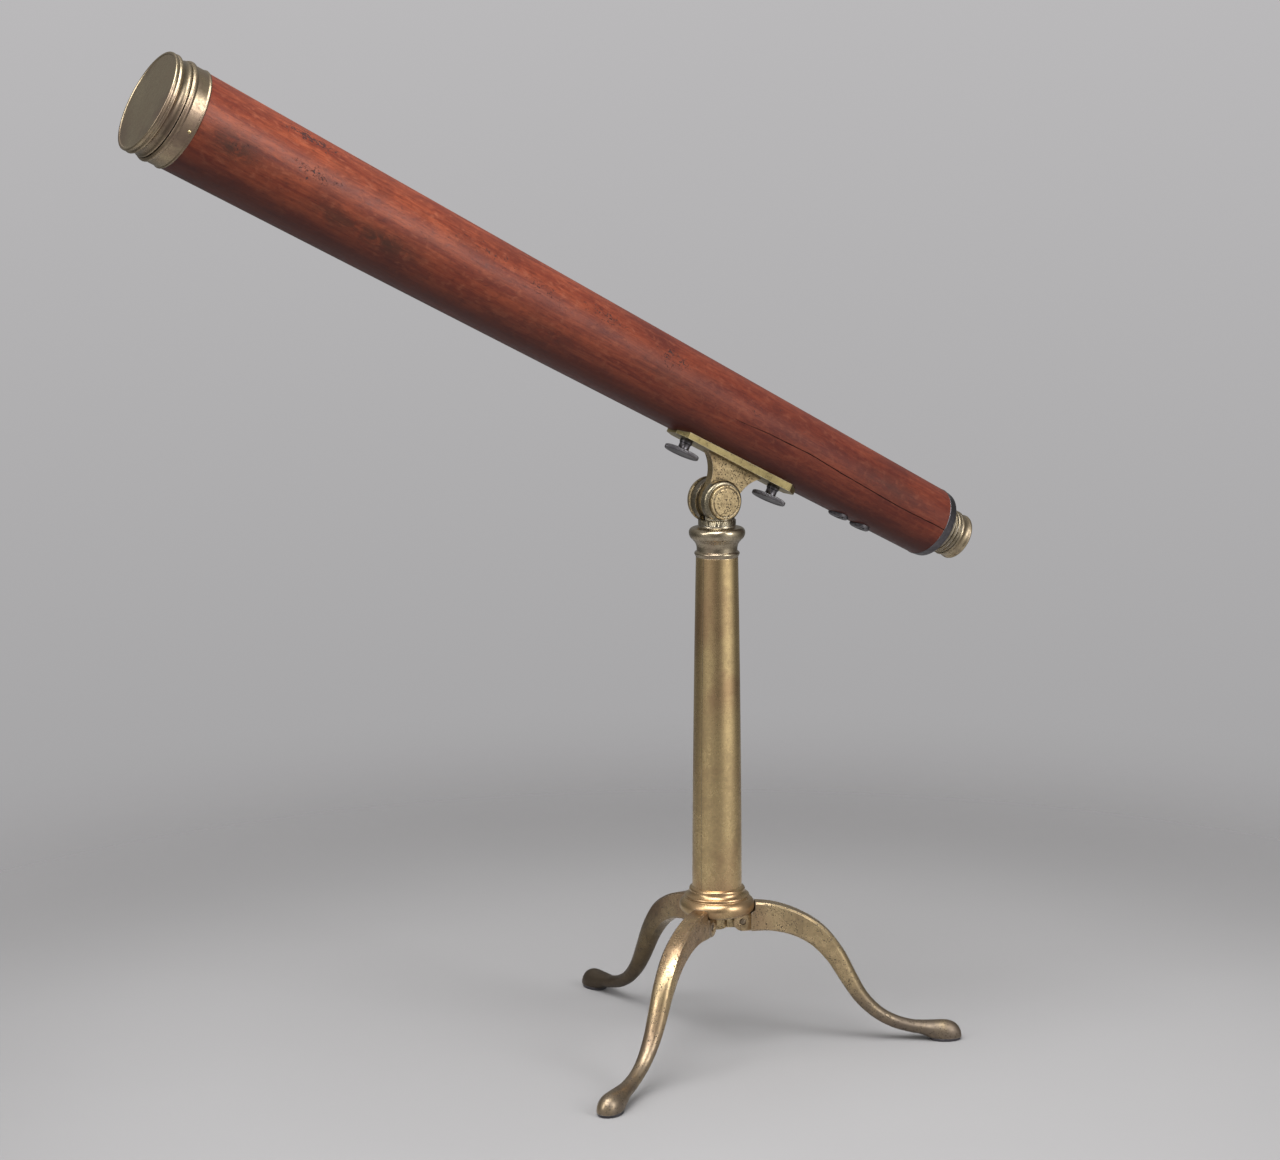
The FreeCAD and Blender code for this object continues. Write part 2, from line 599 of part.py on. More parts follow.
def cheek(name, radius, face, rounding, side):
    """A round cheek beside the tongue, its outer edge rounded, on the given side of XZ."""
    half_gap = "cheek_gap / 2"
    body = turned(name, [
        ("0", half_gap),
        (radius, half_gap),
        (radius, f"{face} - {rounding}"),
        (f"{radius} - {rounding}", face, OUTWARD, rounding),
        ("0", face),
    ])
    body.Placement = spin(X_AXIS, -90 * side, PIVOT)
    return body


def make_knuckle():
    neck = turned("Neck", [
        ("0", "stub_bottom"),
        ("stub_radius", "stub_bottom"),
        ("stub_radius", "capital_top + parting_gap"),
        ("neck_radius", "capital_top + parting_gap"),
        ("neck_radius", "capital_top + neck_disc_height"),
        ("neck_radius - 1", "capital_top + neck_disc_height + 0.8"),
        ("neck_radius - 1", "pivot_height - neck_end_drop"),
        ("0", "pivot_height - neck_end_drop"),
    ])
    near = cheek("NearCheek", "near_cheek_radius", "near_cheek_face", "near_cheek_round", -1)
    far = cheek("FarCheek", "far_cheek_radius", "far_cheek_face", "far_cheek_round", 1)
    boss = turned("Boss", [
        ("0", "near_cheek_face - 1"),
        ("near_boss_radius", "near_cheek_face - 1"),
        ("near_boss_radius", "near_boss_face - 0.5"),
        ("near_boss_radius - 0.5", "near_boss_face"),
        ("0", "near_boss_face"),
    ])
    boss.Placement = spin(X_AXIS, 90, PIVOT)
    solid_head = fused("SolidHead", [neck, near, far, boss])
    gap = rod("TongueGap", "tongue_radius + tongue_room", "cheek_gap")
    gap.Placement = spin(X_AXIS, 90, PIVOT + Vector(0, size("cheek_gap") / 2, 0))
    wide_gap = DOC.addObject("Part::Box", "GapAbove")
    wide_gap.setExpression("Length", formula("far_cheek_radius * 3"))
    wide_gap.setExpression("Width", formula("cheek_gap"))
    wide_gap.setExpression("Height", formula("far_cheek_radius * 2"))
    wide_gap.Placement.Base = PIVOT + Vector(
        -1.5 * size("far_cheek_radius"), -size("cheek_gap") / 2, -size("gap_floor_drop")
    )
    screw_hole = rod("ClampScrewHole", "clamp_screw_radius", "near_cheek_face + far_cheek_face")
    screw_hole.Placement = spin(X_AXIS, 90, PIVOT + Vector(0, size("far_cheek_face") + 0.5, 0))
    spindle_hole = rod("SpindleHole", "spindle_radius", "spindle_top - stub_bottom")
    spindle_hole.Placement.Base = Vector(0, 0, size("stub_bottom"))
    head_room = rod("ClampHeadRoom", "clamp_head_radius + parting_gap", "neck_radius")
    head_room.Placement = spin(X_AXIS, -90, PIVOT + Vector(0, size("far_cheek_face"), 0))
    cutters = [gap, wide_gap, screw_hole, spindle_hole, head_room]
    openings = fused("KnuckleOpenings", cutters)
    keep(cut_from("Yoke", solid_head, openings), "knuckle_yoke")


def make_clamp_screw():
    turning = turned("ClampScrewTurning", [
        ("0", "0.5 - near_cheek_face"),
        ("clamp_screw_radius", "0.5 - near_cheek_face"),
        ("clamp_screw_radius", "far_cheek_face"),
        ("clamp_head_radius - 0.8", "far_cheek_face"),
        ("clamp_head_radius", "far_cheek_face + 0.8"),
        ("clamp_head_radius", "clamp_head_rim"),
        ("clamp_head_radius - 3.6", "clamp_head_rim + 4.6", OUTWARD, "6"),
        ("0", "clamp_head_top", UPWARD, "46"),
    ])
    slot = DOC.addObject("Part::Box", "ClampSlot")
    slot.setExpression("Length", formula("clamp_head_radius * 3"))
    slot.setExpression("Width", formula("clamp_slot_width"))
    slot.setExpression("Height", formula("clamp_slot_depth * 2"))
    slot.Placement.Base = Vector(
        -1.5 * size("clamp_head_radius"),
        -size("clamp_slot_width") / 2,
        size("clamp_head_top - clamp_slot_depth"),
    )
    screw = cut_from("ClampScrew", turning, slot)
    keep(screw, "clamp_screw", spin(X_AXIS, -90, PIVOT))


def make_spindle():
    spindle = turned("Spindle", [
        ("0", "spindle_bottom"),
        ("spindle_radius - 0.6", "spindle_bottom"),
        ("spindle_radius", "spindle_bottom + 0.6"),
        ("spindle_radius", "spindle_top"),
        ("0", "spindle_top"),
    ])
    keep(spindle, "head_spindle")
    nut_top = "pillar_top - capital_plug_length - parting_gap"
    nut = turned("SpindleNut", [
        ("spindle_radius", f"{nut_top} - spindle_nut_height"),
        ("spindle_nut_radius", f"{nut_top} - spindle_nut_height"),
        ("spindle_nut_radius", nut_top),
        ("spindle_radius", nut_top),
    ])
    keep(nut, "spindle_nut")


# Barrel and what is fastened to it

SLEEVE_SCREW_STATIONS = ("sleeve_screw_station_a", "sleeve_screw_station_b")
SLEEVE_SCREW_END = "sleeve_radius + 1"


def barrel_surface():
    """The cone of the barrel's outside, long enough to hollow the saddle plate."""
    cone = DOC.addObject("Part::Cone", "BarrelSurface")
    cone.setExpression("Radius1", formula("barrel_radius_eye"))
    cone.setExpression("Radius2", formula("barrel_radius_front"))
    cone.setExpression("Height", formula("barrel_shoulder_front - barrel_shoulder_eye"))
    cone.Placement.Base = Vector(0, 0, size("barrel_shoulder_eye"))
    return cone


def thumbscrew_stations():
    half = "thumbscrew_spacing / 2"
    return {"front": f"thumbscrew_middle + {half}", "rear": f"thumbscrew_middle - {half}"}


def radial_rod(name, radius, low, high, station):
    """A cylinder under the tube, from one distance below its axis to another."""
    cylinder = rod(name, radius, f"({high}) - ({low})")
    cylinder.Placement = under_tube(station) * Placement(Vector(0, 0, size(low)), Rotation())
    return cylinder


def make_bracket():
    pivot = "0 - axis_offset"
    blend_level = f"{pivot} + web_blend_rise"
    blend_along = "sqrt(tongue_radius ^ 2 - web_blend_rise ^ 2)"
    web_top = "0 - plate_level + 1"
    web = plate("Web", "XZ_Plane", [
        (web_top, "pivot_station + web_half_length"),
        (blend_level, f"pivot_station + {blend_along}", DOWNWARD, "web_flare"),
        (f"{pivot} - tongue_radius", "pivot_station", UPWARD, "tongue_radius"),
        (blend_level, f"pivot_station - {blend_along}", DOWNWARD, "tongue_radius"),
        (web_top, "pivot_station - web_half_length", UPWARD, "web_flare"),
    ], "tongue_thickness")
    end_a, end_b = "thumbscrew_middle - plate_length / 2", "thumbscrew_middle + plate_length / 2"
    edge, corner = "plate_width / 2", "plate_width / 2 - plate_corner_across"
    saddle = plate("SaddlePlate", "YZ_Plane", [
        (corner, end_a),
        (edge, f"{end_a} + plate_corner_along"),
        (edge, f"{end_b} - plate_corner_along"),
        (corner, end_b),
        (f"0 - ({corner})", end_b),
        (f"0 - ({edge})", f"{end_b} - plate_corner_along"),
        (f"0 - ({edge})", f"{end_a} + plate_corner_along"),
        (f"0 - ({corner})", end_a),
    ], "plate_blank_height", centred=False, offset="0 - plate_level")
    holes = [
        radial_rod("PlateHole", "plate_hole_radius", "bush_inner_level", "plate_level + 6", station)
        for station in thumbscrew_stations().values()
    ]
    eye = rod("PivotHole", "clamp_screw_radius + running_gap", "tongue_thickness * 2")
    middle = Vector(-size("axis_offset"), size("tongue_thickness"), size("pivot_station"))
    eye.Placement = spin(X_AXIS, 90, middle)
    openings = fused("BracketOpenings", [barrel_surface(), eye] + holes)
    bracket = cut_from("Bracket", fused("BracketBlank", [web, saddle]), openings)
    keep(bracket, "tilt_bracket", TUBE)


def bore_radius(station):
    """The barrel's bore at a place along the tube, as a formula."""
    slope = "(barrel_bore_front - barrel_bore_eye) / (barrel_end - barrel_start)"
    return f"barrel_bore_eye + ({station} - barrel_start) * {slope}"


def make_barrel():
    wood = turned("BarrelTurning", [
        ("barrel_bore_eye", "barrel_start"),
        ("spigot_radius_eye", "barrel_start"),
        ("spigot_radius_eye", "barrel_shoulder_eye"),
        ("barrel_radius_eye", "barrel_shoulder_eye"),
        ("barrel_radius_front", "barrel_shoulder_front"),
        ("spigot_radius_front", "barrel_shoulder_front"),
        ("spigot_radius_front", "barrel_end"),
        ("barrel_bore_front", "barrel_end"),
    ])
    holes = [make_ferrule_pins()]
    inside, outside = "sleeve_radius", "barrel_radius_front"
    for station in thumbscrew_stations().values():
        holes.append(radial_rod("BushHole", "bush_radius", inside, outside, station))
    for station in SLEEVE_SCREW_STATIONS:
        hole = radial_rod("ScrewHole", "sleeve_screw_radius", inside, outside, station)
        seat_radius = "sleeve_screw_head_radius"
        seat = radial_rod("ScrewSeat", seat_radius, "sleeve_screw_seat", outside, station)
        holes += [hole, seat]
    keep(cut_from("Barrel", wood, fused("BarrelHoles", holes)), "barrel", TUBE)
    bushes = []
    for station in thumbscrew_stations().values():
        ring = turned("Bush", [
            ("thumbscrew_shank_radius + running_gap", "bush_inner_level"),
            ("bush_radius", "bush_inner_level"),
            ("bush_radius", "bush_outer_level"),
            ("thumbscrew_shank_radius + running_gap", "bush_outer_level"),
        ])
        ring.Placement = TUBE * under_tube(station)
        bushes.append(ring)
    keep(group("Bushes", bushes), "threaded_bushes")


def make_ferrule_pins():
    """Three radial pins as one object in the tube frame."""
    low, high = "spigot_radius_front - ferrule_pin_depth", "ferrule_radius + ferrule_pin_rise"
    pins = []
    for number in range(3):
        pin = rod("FerrulePin", "ferrule_pin_radius", f"{high} - ({low})")
        around = spin(Z_AXIS, size("ferrule_pin_azimuth") + 120 * number)
        radial = spin(Y_AXIS, 90, Vector(0, 0, size("ferrule_pin_station")))
        pin.Placement = around * radial * Placement(Vector(0, 0, size(low)), Rotation())
        pins.append(pin)
    return fused("FerrulePins", pins)


def make_objective_end():
    ferrule = turned("FerruleTurning", [
        ("spigot_radius_front", "barrel_shoulder_front"),
        ("ferrule_radius", "barrel_shoulder_front"),
        ("ferrule_radius", "barrel_shoulder_front + 2", OUTWARD, "1.1"),
        ("ferrule_radius", "ferrule_end - 4.4"),
        ("ferrule_radius", "ferrule_end - 0.6", OUTWARD, "2.6"),
        ("ferrule_radius - 0.4", "ferrule_end"),
        ("cell_radius", "ferrule_end"),
        ("cell_radius", "barrel_end"),
        ("spigot_radius_front", "barrel_end"),
    ])
    keep(cut_from("Ferrule", ferrule, make_ferrule_pins()), "objective_ferrule", TUBE)
    keep(make_ferrule_pins(), "objective_ferrule_pins", TUBE)
    cell = turned("Cell", [
        ("cell_stop_radius", "cell_start"),
        ("cell_stop_radius + 2.4", "cell_start"),
        ("cell_stop_radius + 2.4", "barrel_end"),
        ("cell_radius", "barrel_end"),
        ("cell_radius", "cell_end - 0.4"),
        ("cell_radius - 0.4", "cell_end"),
        ("cell_bore", "cell_end"),
        ("cell_bore", "lens_seat"),
        ("cell_stop_radius", "lens_seat"),
    ])
    keep(cell, "objective_cell", TUBE)
    lens_edge = "cell_bore - lens_gap"
    sag = sagitta("lens_curve", lens_edge)
    flint = turned("Flint", [
        ("0", "lens_seat"),
        (lens_edge, "lens_seat"),
        (lens_edge, "lens_joint - lens_gap"),
        ("0", f"lens_joint - lens_gap - ({sag})", DOWNWARD, "lens_curve"),
    ])
    keep(flint, "flint_lens", TUBE)
    crown = turned("Crown", [
        ("0", f"lens_joint - ({sag})"),
        (lens_edge, "lens_joint", DOWNWARD, "lens_curve"),
        (lens_edge, "lens_front"),
        ("0", f"lens_front + ({sag})", UPWARD, "lens_curve"),
    ])
    keep(crown, "crown_lens", TUBE)
    ring_start = "lens_front + retaining_ring_lift"
    ring = flat_ring(
        "RetainingRing", "cell_stop_radius", "cell_bore", ring_start, "retaining_ring_width"
    )
    keep(ring, "lens_retaining_ring", TUBE)


def make_dust_cap():
    cap = turned("Cap", [
        ("cap_bore", "cap_start"),
        ("ferrule_radius - 0.6", "cap_start"),
        ("ferrule_radius - 0.4", "cap_start + 0.7"),
        ("cap_rim_radius - 0.5", "cap_waist_end", INWARD, "4.9"),
        ("cap_rim_radius - 0.3", "cap_waist_end + 2.4", OUTWARD, "1.5"),
        ("cap_rim_radius", "cap_face - 0.7", OUTWARD, "3"),
        ("cap_rim_radius - 0.7", "cap_face", OUTWARD, "0.8"),
        ("cap_rim_radius - 1.8", "cap_face"),
        ("cap_rim_radius - 2.4", "cap_face - 0.5"),
        ("0", "cap_face - 0.5"),
        ("0", "cap_face - 0.5 - cap_thickness"),
        ("cap_bore", "cap_face - 0.5 - cap_thickness"),
    ])
    keep(cap, "dust_cap", TUBE)


def make_eye_end():
    ferrule = turned("EyeFerrule", [
        ("sleeve_radius", "eye_ferrule_face"),
        ("eye_ferrule_rim - 0.8", "eye_ferrule_face"),
        ("eye_ferrule_rim", "eye_ferrule_face + 0.8"),
        ("eye_ferrule_edge", "barrel_shoulder_eye - 0.4"),
        ("eye_ferrule_edge - 0.2", "barrel_shoulder_eye"),
        ("spigot_radius_eye", "barrel_shoulder_eye"),
        ("spigot_radius_eye", "barrel_start"),
        ("sleeve_radius", "barrel_start"),
    ])
    keep(ferrule, "eye_ferrule", TUBE)
    sleeve = turned("GuideSleeve", [
        ("sleeve_bore", "eye_ferrule_face"),
        ("sleeve_radius", "eye_ferrule_face"),
        ("sleeve_radius", "sleeve_end"),
        ("sleeve_bore", "sleeve_end"),
    ])
    keep(sleeve, "guide_sleeve", TUBE)
    collar = turned("CollarTurning", [
        ("sleeve_radius", "collar_start"),
        (bore_radius("collar_start"), "collar_start"),
        (bore_radius("collar_end"), "collar_end"),
        ("sleeve_radius", "collar_end"),
    ])
    holes = []
    screws = []
    for station in SLEEVE_SCREW_STATIONS:
        low, high = SLEEVE_SCREW_END, "barrel_radius_front"
        holes.append(radial_rod("CollarHole", "sleeve_screw_radius", low, high, station))
        screw = turned("SleeveScrew", [
            ("0", SLEEVE_SCREW_END),
            ("sleeve_screw_radius", SLEEVE_SCREW_END),
            ("sleeve_screw_radius", "sleeve_screw_seat"),
            ("sleeve_screw_head_radius", "sleeve_screw_seat"),
            ("sleeve_screw_head_radius", "sleeve_screw_seat + 1.9"),
            ("sleeve_screw_head_radius - 1.4", "sleeve_screw_top - 0.5", OUTWARD, "2.2"),
            ("0", "sleeve_screw_top", UPWARD, "50"),
        ])
        slot = DOC.addObject("Part::Box", "ScrewSlot")
        slot.setExpression("Length", formula("sleeve_screw_slot_width"))
        slot.setExpression("Width", formula("sleeve_screw_head_radius * 3"))
        slot.setExpression("Height", formula("sleeve_screw_slot_depth * 2"))
        slot.Placement.Base = Vector(
            -size("sleeve_screw_slot_width") / 2,
            -1.5 * size("sleeve_screw_head_radius"),
            size("sleeve_screw_top - sleeve_screw_slot_depth"),
        )
        slotted = cut_from("SlottedScrew", screw, slot)
        slotted.Placement = TUBE * under_tube(station)
        screws.append(slotted)
    keep(cut_from("Collar", collar, fused("CollarHoles", holes)), "sleeve_collar", TUBE)
    keep(group("SleeveScrews", screws), "sleeve_screws")


def make_thumbscrews():
    for name, station in thumbscrew_stations().items():
        level, thickness = "thumbscrew_head_level", "thumbscrew_head_thickness"
        screw = turned("Thumbscrew", [
            ("0", "thumbscrew_tip_level"),
            ("thumbscrew_shank_radius - 0.5", "thumbscrew_tip_level"),
            ("thumbscrew_shank_radius", "thumbscrew_tip_level + 0.5"),
            ("thumbscrew_shank_radius", "plate_level + lens_gap"),
            ("thumbscrew_collar_radius", "plate_level + lens_gap"),
            ("thumbscrew_collar_radius", level),
            ("thumbscrew_head_radius - 0.5", level),
            ("thumbscrew_head_radius", f"{level} + 0.5"),
            ("thumbscrew_head_radius", f"{level} + {thickness} - 0.6"),
            ("thumbscrew_head_radius - 0.6", f"{level} + {thickness}"),
            ("0", f"{level} + {thickness}"),
        ])
        keep(screw, f"thumbscrew_{name}", TUBE * under_tube(station))


# Draw tube and the eyepiece it carries


def eyecup_outline():
    corners = [
        ("eyehole_radius", "2.6"),
        ("16.4", "0.2", UPWARD, "26"),
        ("eyecup_radius - 1", "0"),
        ("eyecup_radius - 0.2", "1", OUTWARD, "1.2"),
        ("eyecup_radius - 0.3", "2"),
        ("eyecup_radius - 0.3", "8.6", INWARD, "5.6"),
        ("eyecup_radius", "9.4"),
        ("eyecup_radius - 0.3", "10.6"),
    ]
    for groove in range(4):
        start = f"eyecup_first_groove + {groove} * eyecup_groove_pitch"
        end = f"{start} + eyecup_groove_width"
        corners.append(("eyecup_groove_radius", start))
        corners.append(("eyecup_groove_radius", end))
        corners.append(("eyecup_radius - 0.4", f"{end} + 0.4", OUTWARD, "1.1"))
        corners.append(("eyecup_radius - 0.4", f"{end} + 1.8", OUTWARD, "0.9"))
    corners += [
        ("eyecup_radius - 0.6", "eyecup_end"),
        ("draw_tube_radius", "eyecup_end"),
        ("draw_tube_radius", "draw_tube_start"),
        ("eyepiece_radius + 0.4", "draw_tube_start"),
        ("eyepiece_radius + 0.4", "eyecup_floor"),
        ("eyehole_radius", "eyecup_floor"),
    ]
    return corners


def tube_with_collars(name, bore, radius, start, end):
    """A lens tube with two collars that fit the inside of the draw tube."""
    corners = [(bore, start), (radius, start)]
    first, last = f"{start} + lens_collar_inset", f"{end} - lens_collar_inset"
    for low, high in (
        (first, f"{first} + lens_collar_length"),
        (f"{last} - lens_collar_length", last),
    ):
        corners += [
            (radius, low), ("draw_tube_bore", low), ("draw_tube_bore", high), (radius, high),
        ]
    corners += [(radius, end), (bore, end)]
    return turned(name, corners)


def sagitta(curve, radius):
    """The height of a round face of this curve over its edge, as a formula."""
    return f"{curve} - sqrt(({curve}) ^ 2 - ({radius}) ^ 2)"


def plano_convex(name, radius, flat, edge, curve, side=UPWARD):
    """A lens with one flat face; the curved one bulges to the given side."""
    sign = "+" if side == UPWARD else "-"
    rim = f"{flat} {sign} {edge}"
    tip = f"{rim} {sign} ({sagitta(curve, radius)})"
    return turned(name, [("0", flat), (radius, flat), (radius, rim), ("0", tip, side, curve)])


def flat_ring(name, bore, radius, start, thickness):
    end = f"{start} + {thickness}"
    return turned(name, [(bore, start), (radius, start), (radius, end), (bore, end)])


def make_eyepiece():
    tube = tube_with_collars(
        "EyepieceTube",
        "eyepiece_bore", "eyepiece_radius", "eyepiece_tube_start", "eyepiece_tube_end",
    )
    keep(tube, "eyepiece_tube", TUBE)
    radius = "eyepiece_bore - lens_gap"
    eye_lens = plano_convex("EyeLens", radius, "eye_lens_face", "eye_lens_edge", "eye_lens_curve")
    keep(eye_lens, "eye_lens", TUBE)
    field_lens = plano_convex(
        "FieldLens", radius, "field_lens_face", "field_lens_edge", "field_lens_curve"
    )
    keep(field_lens, "field_lens", TUBE)
    stop = flat_ring(
        "FieldStop", "field_stop_opening", "eyepiece_bore", "field_stop_start", "stop_thickness"
    )
    keep(stop, "field_stop", TUBE)


def make_erector():
    start, end = "erector_tube_start", "erector_tube_end"
    tube = tube_with_collars("ErectorTube", "erector_bore", "erector_radius", start, end)
    keep(tube, "erector_tube", TUBE)
    for name, face, side in (
        ("rear", f"{start} + erector_lens_inset", UPWARD),
        ("front", f"{end} - erector_lens_inset", DOWNWARD),
    ):
        lens = plano_convex(
            "ErectorLens",
            "erector_bore - lens_gap", face, "erector_lens_edge", "erector_lens_curve", side,
        )
        keep(lens, f"erector_lens_{name}", TUBE)
    stop = flat_ring(
        "ErectorStop", "erector_stop_opening", "erector_bore", "erector_stop_start",
        "stop_thickness",
    )
    keep(stop, "erector_stop", TUBE)


def make_draw():
    draw = turned("DrawTube", [
        ("draw_tube_bore", "draw_tube_start"),
        ("draw_tube_radius", "draw_tube_start"),
        ("draw_tube_radius", "draw_tube_end"),
        ("draw_tube_bore", "draw_tube_end"),
    ])
    keep(draw, "draw_tube", TUBE)
    keep(turned("Eyecup", eyecup_outline()), "eyecup", TUBE)
    make_eyepiece()
    make_erector()


def check_document():
    """Stop if any object failed, or any node isn't sound closed solids."""
    for thing in DOC.Objects:
        if "Invalid" in thing.State or "Error" in thing.State:
            raise RuntimeError(f"{thing.Label} failed: {thing.State}")
    for node in NODES:
        shape = node.Shape
        if shape.isNull() or not shape.isValid() or not shape.Solids:
            raise RuntimeError(f"{node.Label} has no sound shape")
        if shape.Volume <= 0:
            raise RuntimeError(f"{node.Label} has no volume")


def write_nodes():
    os.makedirs("parts", exist_ok=True)
    for node in NODES:
        node.Shape.exportStep(f"parts/{node.Label}.step")
        box = node.Shape.BoundBox
        print(
            f"{node.Label:24s} {len(node.Shape.Solids)} solids {node.Shape.Volume / 1000:9.2f} cm3"
            f"  x {box.XMin:7.1f} {box.XMax:7.1f}  y {box.YMin:7.1f} {box.YMax:7.1f}"
            f"  z {box.ZMin:7.1f} {box.ZMax:7.1f}"
        )


make_pillar()
make_hub()
make_legs()
make_knuckle()
make_clamp_screw()
make_spindle()
make_bracket()
make_barrel()
make_objective_end()
make_dust_cap()
make_eye_end()
make_thumbscrews()
make_draw()
DOC.recompute()
check_document()
write_nodes()
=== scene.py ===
import json
import math

import bmesh
import bpy
from mathutils import Matrix, Vector, noise


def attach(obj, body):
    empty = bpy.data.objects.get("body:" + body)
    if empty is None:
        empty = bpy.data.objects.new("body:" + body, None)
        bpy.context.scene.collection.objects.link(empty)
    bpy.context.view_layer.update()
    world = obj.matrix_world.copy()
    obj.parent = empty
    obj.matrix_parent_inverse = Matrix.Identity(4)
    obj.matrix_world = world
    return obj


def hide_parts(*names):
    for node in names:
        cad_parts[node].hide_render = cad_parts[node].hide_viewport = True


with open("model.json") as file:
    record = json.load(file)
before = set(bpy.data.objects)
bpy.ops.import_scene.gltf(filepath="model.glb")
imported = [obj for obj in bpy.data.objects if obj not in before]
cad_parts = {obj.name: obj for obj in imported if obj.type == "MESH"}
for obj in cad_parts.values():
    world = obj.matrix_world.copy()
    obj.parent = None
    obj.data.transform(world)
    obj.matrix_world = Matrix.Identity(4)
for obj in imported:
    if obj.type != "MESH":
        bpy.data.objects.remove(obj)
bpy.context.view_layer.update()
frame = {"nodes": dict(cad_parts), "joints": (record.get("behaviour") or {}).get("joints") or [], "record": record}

# A library telescope on a brass table stand. Lengths below are in millimetres and are
# turned into metres as each mesh is made.

MM = 0.001
NODES = frame["nodes"]
JOINTS = {joint["name"]: joint for joint in frame["joints"]}

# Places: the tube's own frame has Z along the tube from the eyepiece to the objective and
# X on its upper side; stations count from the eyepiece's lip.
AXIS_OFFSET, PIVOT_STATION = 64.5, 225.5
PIVOT = Vector(JOINTS["head_tilt"]["pos_m"])
ALONG = Vector(JOINTS["cap_slide"]["axis"]).normalized()
UPPER = Vector((0, 1, 0)).cross(ALONG)


def frame_at(origin, x, y, z):
    return Matrix.Translation(origin) @ Matrix((x, y, z)).transposed().to_4x4()


TUBE = frame_at(
    PIVOT + UPPER * AXIS_OFFSET * MM - ALONG * PIVOT_STATION * MM,
    UPPER, Vector((0, 1, 0)), ALONG,
)
STAND = Matrix.Identity(4)
KNUCKLE_NEAR = frame_at(PIVOT, Vector((1, 0, 0)), Vector((0, 0, 1)), Vector((0, -1, 0)))
KNUCKLE_FAR = frame_at(PIVOT, Vector((-1, 0, 0)), Vector((0, 0, 1)), Vector((0, 1, 0)))


def shift(x, y, z):
    return Matrix.Translation((x * MM, y * MM, z * MM))


def spin(degrees, axis):
    return Matrix.Rotation(math.radians(degrees), 4, axis)


def under_tube(station):
    """A frame whose Z axis points straight down from the tube's axis at a station."""
    return TUBE @ shift(0, 0, station) @ spin(-90, "Y")


def mix(a, b, share):
    return a + (b - a) * share


def smooth(low, high, value):
    """0 below low, 1 above high, and an even rise between."""
    share = min(max((value - low) / (high - low), 0), 1)
    return share * share * (3 - 2 * share)


# Materials


class Nodes:
    """The nodes of a material or world being built."""

    def __init__(self, owner):
        owner.use_nodes = True
        self.tree = owner.node_tree
        self.tree.nodes.clear()

    def node(self, kind, **settings):
        made = self.tree.nodes.new(kind)
        for name, value in settings.items():
            setattr(made, name, value)
        return made

    def feed(self, socket, value):
        if isinstance(value, bpy.types.NodeSocket):
            self.tree.links.new(value, socket)
        else:
            socket.default_value = value

    def vector(self, operation, a, b=None):
        made = self.node("ShaderNodeVectorMath", operation=operation)
        self.feed(made.inputs[0], a)
        if operation == "SCALE":
            self.feed(made.inputs["Scale"], b)
        elif b is not None:
            self.feed(made.inputs[1], b)
        return made.outputs["Value" if operation == "DOT_PRODUCT" else "Vector"]

    def split(self, vector):
        made = self.node("ShaderNodeSeparateXYZ")
        self.feed(made.inputs[0], vector)
        return made.outputs

    def join(self, x, y, z):
        made = self.node("ShaderNodeCombineXYZ")
        for socket, value in zip(made.inputs, (x, y, z)):
            self.feed(socket, value)
        return made.outputs[0]

    def math(self, operation, a, b=0.0, c=0.0):
        made = self.node("ShaderNodeMath", operation=operation)
        for socket, value in zip(made.inputs, (a, b, c)):
            self.feed(socket, value)
        return made.outputs[0]

    def ramp(self, value, low, high, start=0.0, end=1.0, kind="SMOOTHSTEP"):
        made = self.node("ShaderNodeMapRange", interpolation_type=kind)
        for socket, number in zip(made.inputs, (value, low, high, start, end)):
            self.feed(socket, number)
        return made.outputs[0]

    def blend(self, share, a, b):
        """A colour between two colours."""
        made = self.node("ShaderNodeMix", data_type="RGBA")
        self.feed(made.inputs["Factor"], share)
        sockets = [socket for socket in made.inputs if socket.type == "RGBA"]
        for socket, value in zip(sockets, (a, b)):
            self.feed(socket, value if isinstance(value, bpy.types.NodeSocket) else (*value, 1))
        return [socket for socket in made.outputs if socket.type == "RGBA"][0]

    def mixed(self, share, a, b):
        """A mix of two shader nodes."""
        made = self.node("ShaderNodeMixShader")
        for socket, value in zip(made.inputs, (share, a.outputs[0], b.outputs[0])):
            self.feed(socket, value)
        return made.outputs[0]


